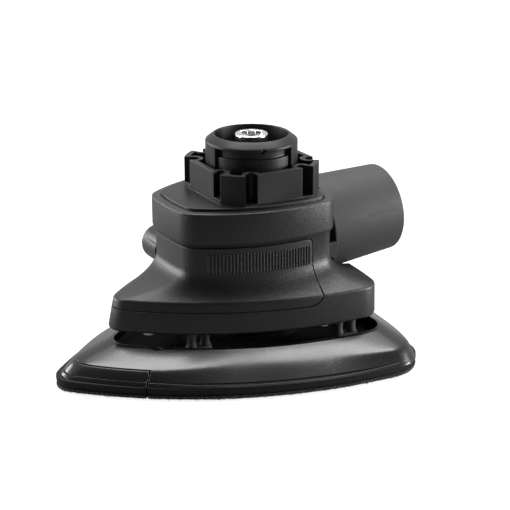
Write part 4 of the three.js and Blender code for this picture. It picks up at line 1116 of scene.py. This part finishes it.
class SANDER_OT_platen(bpy.types.Operator):
    """Build the domed platen and the holder of the detail tip"""
    bl_idname = "sander.platen"
    bl_label = "Platen"

    def execute(self, context):
        settings = context.scene.sander_platen
        finishes["platen_plastic"] = moulded_plastic(
            "platen_satin", settings.colour, settings.roughness, grain=0.00045, depth=0.00001, specular=0.42,
            rounding=0.0002, wear=0.3)
        layers = dome_layers(boat(RIM, -mm(settings.lip)), boat(BASE), lip_bottom, rim_top, 40)
        outside = loft([[boat(BASE, 0.06), lip_bottom], *layers[1:]])
        outside = outside - slab(boat(BASE, 1.0), lip_bottom - 1, platen_bottom)
        self.dome(settings, outside)
        self.holder(outside)
        return {"FINISHED"}

    def dome(self, settings, outside):
        lip, wall = mm(settings.lip), mm(settings.wall)
        room = loft(dome_layers(boat(RIM), boat(BASE, wall), platen_bottom - FITTED_GAP, rim_top - 1.8, 20))
        room = room - block((-170, 170), (-170, 170), (-1, floor_top))
        body = outside - room - slab(boat(RIM), floor_top + 1, rim_top + 1)
        body = body + (outside & tip_region(TIP_GAP + wall, lip_bottom, tip_top + TIP_WALL_ROOM))
        body = body + rod(HUB["radius"], floor_top - 1, hub_top, sides=72)
        body = body - tip_region(TIP_GAP, lip_bottom - 1, tip_top + FITTED_GAP)
        groove_half = TONGUE["half"] + FITTED_GAP
        body = body - block((-43, -26.4), (-groove_half, groove_half), (platen_bottom - 1, platen_bottom + 2))
        body = body - rod(HUB["seat"], floor_top, hub_top + 1, sides=72)
        body = body - rod(HUB["hole"], platen_bottom - 1, floor_top + 1)
        body = cut(body, dust_holes(platen_bottom - 1, rim_top))
        for _, _, x, y in LEG_PLACES:
            body = body - rod(LEG["screw"], platen_bottom - 1, floor_top + 1, x, y, 24)
            body = body - rod(LEG["screw_head"], platen_bottom - 1, platen_bottom + 1.8, x, y, 32)
        rim_band = slab(boat(RIM, -lip - 1), rim_top - 5, rim_top + 1)
        for ys in ((0, 60), (-60, 0)):
            body = body - (block(RIM_NOTCH["x"], ys, (rim_top - RIM_NOTCH["depth"], rim_top + 1)) & rim_band)
        dome = shown("platen_dome", body.moved(ON_PLATEN), "platen", "platen_plastic", "platen")
        self.matt_bowl(dome, settings)

    @staticmethod
    def matt_bowl(dome, settings):
        """Gives the faces that look into the bowl a duller finish than the outside has."""
        dome.data.materials.append(moulded_plastic(
            "bowl_matt", settings.colour, 0.7, grain=0.0005, depth=0.00004, specular=0.1, wear=0.2))
        mouth = boat(RIM, 0.1)
        for face in dome.data.polygons:
            x, y, z = (mm(value) for value in face.center)
            inward = face.normal.x * (x - ORBIT) + face.normal.y * y < 0.01
            if floor_top - 0.1 < z < rim_top - 0.05 and (inward or encloses(mouth, x - ORBIT, y)):
                face.material_index = 1

    @staticmethod
    def holder(outside):
        line = (slab(boat(BASE, -1), platen_bottom + 1.35, platen_bottom + 1.7)
                - slab(boat(BASE, 1.5), platen_bottom, platen_bottom + 3))
        tongue = block(TONGUE["x"], (-TONGUE["half"], TONGUE["half"]),
                       (platen_bottom + TONGUE["low"], platen_bottom + TONGUE["high"]))
        holder = (outside & tip_region(0, lip_bottom, tip_top)) - line + tongue
        shown("tip_plate", holder.moved(ON_PLATEN), "tip", "platen_plastic", "tip_holder")


def foam_block():
    """The foam with rounded edges and a side that swells a little at mid height, cut back under the lip."""
    layers, steps, inset, edge, bulge = [], 10, 0.25, 0.35, 0.3
    for i in range(steps + 1):
        t = i / steps
        rounding = edge * max(0, 1 - 5 * t) ** 2 + edge * max(0, 5 * t - 4) ** 2
        outline = boat(PAD, inset + rounding - bulge * math.sin(math.pi * t))
        layers.append([outline, foam_bottom + (foam_top - foam_bottom) * t])
    rebate = slab(boat(PAD, -5), lip_bottom - 0.15, foam_top + 1)
    return loft(layers) - (rebate - slab(boat(BASE, 1.1), lip_bottom - 1, foam_top + 2))


def hook_sheet():
    return loft([[boat(PAD, 0.5), 0.45], [boat(PAD, 0.1), 0.6], [boat(PAD), 0.9],
                 [boat(PAD), sheet_top - 0.15], [boat(PAD, 0.15), sheet_top]])


class SANDER_OT_pads(bpy.types.Operator):
    """Build the foam pads and the hook sheets of the platen and the detail tip"""
    bl_idname = "sander.pads"
    bl_label = "Foam and hook sheets"

    def execute(self, context):
        settings = context.scene.sander_platen
        finishes["foam"] = foam("foam_cells", settings.foam_colour)
        finishes["hook"] = hook_weave("hook_loops", settings.hook_colour)
        pad = foam_block()
        main = cut(pad - tip_region(TIP_GAP, 0, foam_top + 1), dust_holes(0, platen_bottom))
        tip = pad & tip_region(0, 0, foam_top + 1)
        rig.padded(shown("foam_pad_soft", main.moved(ON_PLATEN), "platen", "foam", "foam_pad"), fill=1.0)
        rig.padded(shown("tip_foam_soft", tip.moved(ON_PLATEN), "tip", "foam", "tip_foam"), fill=1.0)
        sheet = hook_sheet()
        main = cut(sheet - tip_region(TIP_GAP, -1, foam_bottom), dust_holes(-1, foam_bottom))
        tip = sheet & tip_region(0, -1, foam_bottom)
        main = self.hooked(main, settings.tufts, lambda x, y: not in_tip(x, y, -0.8))
        tip = self.hooked(tip, settings.tufts, lambda x, y: in_tip(x, y, 0.4))
        shown("hook_sheet_looped", main.moved(ON_PLATEN), "platen", "hook", "hook_sheet")
        shown("tip_hook_looped", tip.moved(ON_PLATEN), "tip", "hook", "tip_hook_sheet")
        return {"FINISHED"}

    def hooked(self, form, tufts, kept):
        """The sheet with short stiff hooks under it, on the places that are kept."""
        draw = random.Random(7)
        work = bmesh.new()
        work.from_mesh(form.mesh)
        for x, y in self.spots(draw, tufts):
            if not kept(x, y):
                continue
            lean, turn, tall = draw.uniform(0.05, 0.25), draw.uniform(0, TURN), draw.uniform(0.35, 0.5)
            across, along = polar(lean, turn)
            root = self.triangle(work, x, y, 0.14, turn, 0.6)
            head = self.triangle(work, x + across, y + along, 0.1, turn, 0.52 - tall)
            for k in range(3):
                work.faces.new((root[k], head[k], head[(k + 1) % 3], root[(k + 1) % 3]))
            work.faces.new(head)
            work.faces.new(list(reversed(root)))
        bmesh.ops.recalc_face_normals(work, faces=work.faces)
        mesh = bpy.data.meshes.new("hooked")
        work.to_mesh(mesh)
        work.free()
        return Form(mesh)

    @staticmethod
    def triangle(work, x, y, radius, turn, height):
        return [work.verts.new((x + radius * math.cos(turn + a), y + radius * math.sin(turn + a), height))
                for a in (0, 2.1, 4.2)]

    @staticmethod
    def spots(draw, tufts):
        """Places for hooks: every other one along the sheet's edge, the rest between the dust holes."""
        border, holes, clear = boat(PAD, 0.35), both_sides(DUST_PLACES), DUST_HOLE + 0.5
        spots = []
        for i in range(tufts):
            if i % 2:
                k = draw.randrange(len(border))
                t = draw.random()
                (ax, ay), (bx, by) = border[k], border[(k + 1) % len(border)]
                x, y = ax + (bx - ax) * t, ay + (by - ay) * t
                pull = 1 - draw.random() * 0.02
                spots.append((x * pull, y * pull))
            else:
                x, y = draw.uniform(*HOOK_AREA["x"]), draw.uniform(*HOOK_AREA["y"])
                reach = (x - HOOK_AREA["x"][0]) * 0.62 if x < 0 else 48 if x < 30 else 40
                if abs(y) < reach and all(math.dist((x, y), hole) > clear for hole in holes):
                    spots.append((x, y))
        return spots


class SANDER_OT_legs(bpy.types.Operator):
    """Build the four rubber legs that hold the platen under the housing"""
    bl_idname = "sander.legs"
    bl_label = "Legs"

    def execute(self, context):
        settings = context.scene.sander_platen
        finishes["leg_rubber"] = rubber("leg_rubber", settings.leg_colour)
        for along, side, x, y in LEG_PLACES:
            leg = self.leg().moved(shift(x + ORBIT, y))
            shown(f"leg_{along}_{side}_rubber", leg, "platen", "leg_rubber", f"leg_{along}_{side}")
        return {"FINISHED"}

    def leg(self):
        """Two waisted posts between a foot and a head."""
        leg = (slab(self.foot(), leg_bottom, leg_bottom + LEG["foot"]).rounded(0.4)
               + slab(self.foot(), leg_top - LEG["head"], leg_top).rounded(0.3))
        for way in (-1, 1):
            leg = leg + self.post().moved(shift(way * LEG["spread"], 0))
        return leg - rod(LEG["screw"], leg_bottom - 1, leg_bottom + LEG["screw_length"])

    @staticmethod
    def post():
        low, high = leg_bottom + 1, leg_top - 0.7
        return full_lathe([
            (0.3, low, 0), (1.9, low, 0), (1.9, leg_bottom + 3.3, 0.5), (1.55, leg_bottom + 4.4, 0.8),
            (1.55, leg_top - 3, 0.8), (1.85, leg_top - 1.2, 0.5), (1.85, high, 0), (0.3, high, 0),
        ], 0.6, 3, 40)

    @staticmethod
    def foot():
        right = []
        for i in range(13):
            x, y = polar(LEG["foot_radius"], math.pi * (i / 12 - 0.5))
            right.append((LEG["spread"] + x, y))
        return right + [(-x, -y) for x, y in right]


class SANDER_OT_outlet(bpy.types.Operator):
    """Build the tapered tube of the dust outlet"""
    bl_idname = "sander.outlet"
    bl_label = "Dust outlet"

    def execute(self, context):
        settings = context.scene.sander_outlet
        finishes["tube_plastic"] = drawn_plastic("tube_drawn", settings.colour, settings.roughness)
        start, end = mm(settings.start), outlet_reach
        near, far = mm(settings.start_radius), mm(settings.end_radius)
        bore, stop = far - mm(settings.end_wall), start + TUBE["depth"]
        tube = lathe([
            (TUBE["bore"], start, 0.3), (near, start, 0.5), (far, end, 0.7), (bore, end, 0.7),
            (bore, stop + 0.6, 0.5), (TUBE["stop"], stop, 0.3), (TUBE["bore"], stop, 0.3),
        ], 5, 144)
        shown("outlet_tube", on_outlet(tube), "adapter", "tube_plastic", "dust_adapter")
        return {"FINISHED"}


class SANDER_OT_inner_parts(bpy.types.Operator):
    """Give the parts that stay as the frame has them their finishes"""
    bl_idname = "sander.inner_parts"
    bl_label = "Inner parts"

    def execute(self, context):
        finishes["steel"] = bright_metal("ground_steel", (0.42, 0.42, 0.43), 0.26, 0.16)
        finishes["cast_metal"] = cast_metal("cast_alloy", (0.2, 0.2, 0.21))
        finishes["fan_plastic"] = moulded_plastic("fan_moulding", (0.02, 0.02, 0.022), 0.5, grain=0.0006,
                                                  depth=0.00005, specular=0.25)
        for entry in frame["record"]["subparts"]:
            mesh = frame["nodes"][entry["node"]].data
            mesh.materials.clear()
            mesh.materials.append(finishes[entry["material_slot"]])
        return {"FINISHED"}


# ---------------------------------------------------------------- stage
WHITE = (1, 1, 1, 1)
CAMERA_TARGET = Vector((1.13, -0.64, 36.58)) * MM
SIDE_PANELS_TARGET, SIDE_PANELS_DISTANCE = Vector((0, 0, 0.04)), 0.75
OVERHEAD_TURN = math.radians(-20)
FLOOR_REACH, FLOOR_LEVEL = 6.0, -0.0002


def direction(azimuth, elevation):
    return Vector((math.sin(azimuth) * math.cos(elevation), -math.cos(azimuth) * math.cos(elevation),
                   math.sin(elevation)))


class SANDER_OT_stage(bpy.types.Operator):
    """Set up the floor, the soft lamps, the white surroundings and the camera"""
    bl_idname = "sander.stage"
    bl_label = "Stage"

    def execute(self, context):
        settings = context.scene.sander_stage
        self.floor(settings)
        self.surroundings(context.scene, settings)
        self.camera(context.scene, settings)
        for name, azimuth, elevation, strength, width, height in (
            ("panel_left", -132, 12, settings.left_power, 0.7, 0.28),
            ("panel_right", 58, 9, settings.right_power, 0.26, 0.26),
        ):
            toward = direction(math.radians(azimuth), math.radians(elevation))
            self.panel(name, strength, width, height, SIDE_PANELS_TARGET + toward * SIDE_PANELS_DISTANCE,
                       toward.to_track_quat("Z", "Y").to_euler())
        for name, strength, width, height, place in (
            ("panel_strip", settings.strip_power, 0.76, 0.28, (0.09, 0.115, 0.72)),
            ("panel_top", settings.top_power, 0.85, 0.45, (0.26, 0.44, 0.72)),
        ):
            self.panel(name, strength, width, height, place, (0, 0, OVERHEAD_TURN))
        context.scene.view_settings.view_transform = "Standard"
        return {"FINISHED"}

    @staticmethod
    def camera(scene, settings):
        back = direction(settings.azimuth, settings.elevation)
        lens = bpy.data.cameras.new("camera")
        lens.lens, lens.sensor_width = settings.lens, 36
        lens.clip_start, lens.clip_end = 0.01, 20
        camera = bpy.data.objects.new("camera", lens)
        scene.collection.objects.link(camera)
        camera.location = CAMERA_TARGET + back * settings.distance
        camera.rotation_euler = back.to_track_quat("Z", "Y").to_euler()
        scene.camera = camera

    @staticmethod
    def panel(name, strength, width, height, location, turn):
        """A soft panel that shines along its own -Z."""
        lamp = bpy.data.lights.new(name, "AREA")
        lamp.shape, lamp.size, lamp.size_y, lamp.energy = "RECTANGLE", width, height, strength
        holder = bpy.data.objects.new(name, lamp)
        holder.location, holder.rotation_euler = location, turn
        bpy.context.scene.collection.objects.link(holder)

    @staticmethod
    def floor(settings):
        """A plain floor, lifted to the white of the backdrop where the camera sees it."""
        mesh = bpy.data.meshes.new("floor")
        square = rectangle(-FLOOR_REACH, FLOOR_REACH, -FLOOR_REACH, FLOOR_REACH)
        mesh.from_pydata([(x, y, FLOOR_LEVEL) for x, y in square], [], [(0, 1, 2, 3)])
        finish, colour = Finish("floor_paint"), settings.floor_colour
        tone = finish.blended(finish.noise(0.05, 2.0), shade(colour, 0.99), shade(colour))
        lift = finish.ray("Camera") * 0.85
        paint = finish.node("ShaderNodeBsdfDiffuse", {}, {"Color": tone})
        glow = finish.node("ShaderNodeEmission", {}, {"Color": WHITE, "Strength": lift})
        finish.ended(finish.node("ShaderNodeAddShader", {}, {0: paint, 1: glow}))
        mesh.materials.append(finish.material)
        ground = bpy.data.objects.new("floor", mesh)
        bpy.context.scene.collection.objects.link(ground)
        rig.stage(ground)

    @staticmethod
    def surroundings(scene, settings):
        """White where the camera looks; gloss sees a slightly darker backdrop and a dim room before it."""
        scene.world = bpy.data.worlds.new("studio")
        graph = Graph(scene.world)
        toward = direction(settings.azimuth + math.pi, math.radians(25))
        sky = graph.node("ShaderNodeTexCoord")
        gloss = graph.facing(sky, toward).within(-0.35, 0.6, 0.03, 0.8) * graph.ray("Glossy")
        seen = graph.ray("Camera").or_more(graph.ray("Transmission")).or_more(gloss)
        strength = seen.or_more(graph.ray("Diffuse") * 0.3)
        graph.ended(graph.node("ShaderNodeBackground", {}, {"Color": WHITE, "Strength": strength}),
                    "ShaderNodeOutputWorld")


class SANDER_PT_panel(bpy.types.Panel):
    """Sizes, colours and build steps of the sanding head"""
    bl_idname = "SANDER_PT_panel"
    bl_label = "Orbital sanding head"
    bl_space_type = "VIEW_3D"
    bl_region_type = "UI"
    bl_category = "Sander"

    def draw(self, context):
        for name, group, operators in STEPS:
            box = self.layout.box()
            box.label(text=name)
            settings = getattr(context.scene, group) if group else None
            for key in settings.bl_rna.properties.keys() if settings else ():
                if key not in ("rna_type", "name"):
                    box.prop(settings, key)
            for operator in operators:
                box.operator(operator.bl_idname)


STEPS = (
    ("Housing", "sander_housing", (SANDER_OT_housing, SANDER_OT_cover)),
    ("Coupling", "sander_coupling", (SANDER_OT_coupling,)),
    ("Platen", "sander_platen", (SANDER_OT_platen, SANDER_OT_pads, SANDER_OT_legs)),
    ("Outlet", "sander_outlet", (SANDER_OT_outlet,)),
    ("Inside", None, (SANDER_OT_inner_parts,)),
    ("Stage", "sander_stage", (SANDER_OT_stage,)),
)
GROUPS = {
    "sander_housing": HousingSettings, "sander_coupling": CouplingSettings, "sander_platen": PlatenSettings,
    "sander_outlet": OutletSettings, "sander_stage": StageSettings,
}


def register():
    for name, group in GROUPS.items():
        bpy.utils.register_class(group)
        setattr(bpy.types.Scene, name, bpy.props.PointerProperty(type=group))
    for _, _, operators in STEPS:
        for operator in operators:
            bpy.utils.register_class(operator)
    bpy.utils.register_class(SANDER_PT_panel)


def unregister():
    bpy.utils.unregister_class(SANDER_PT_panel)
    for _, _, operators in reversed(STEPS):
        for operator in reversed(operators):
            bpy.utils.unregister_class(operator)
    for name, group in GROUPS.items():
        delattr(bpy.types.Scene, name)
        bpy.utils.unregister_class(group)


def main():
    register()
    for step in ("housing", "cover", "coupling", "platen", "pads", "legs", "outlet", "inner_parts", "stage"):
        getattr(bpy.ops.sander, step)()
    with open("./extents.json", "w") as size_file:
        json.dump({"cad": CAD_BOUNDS, "visual": [list(corner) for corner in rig.bounds()]}, size_file)


if __name__ == "__main__":
    main()
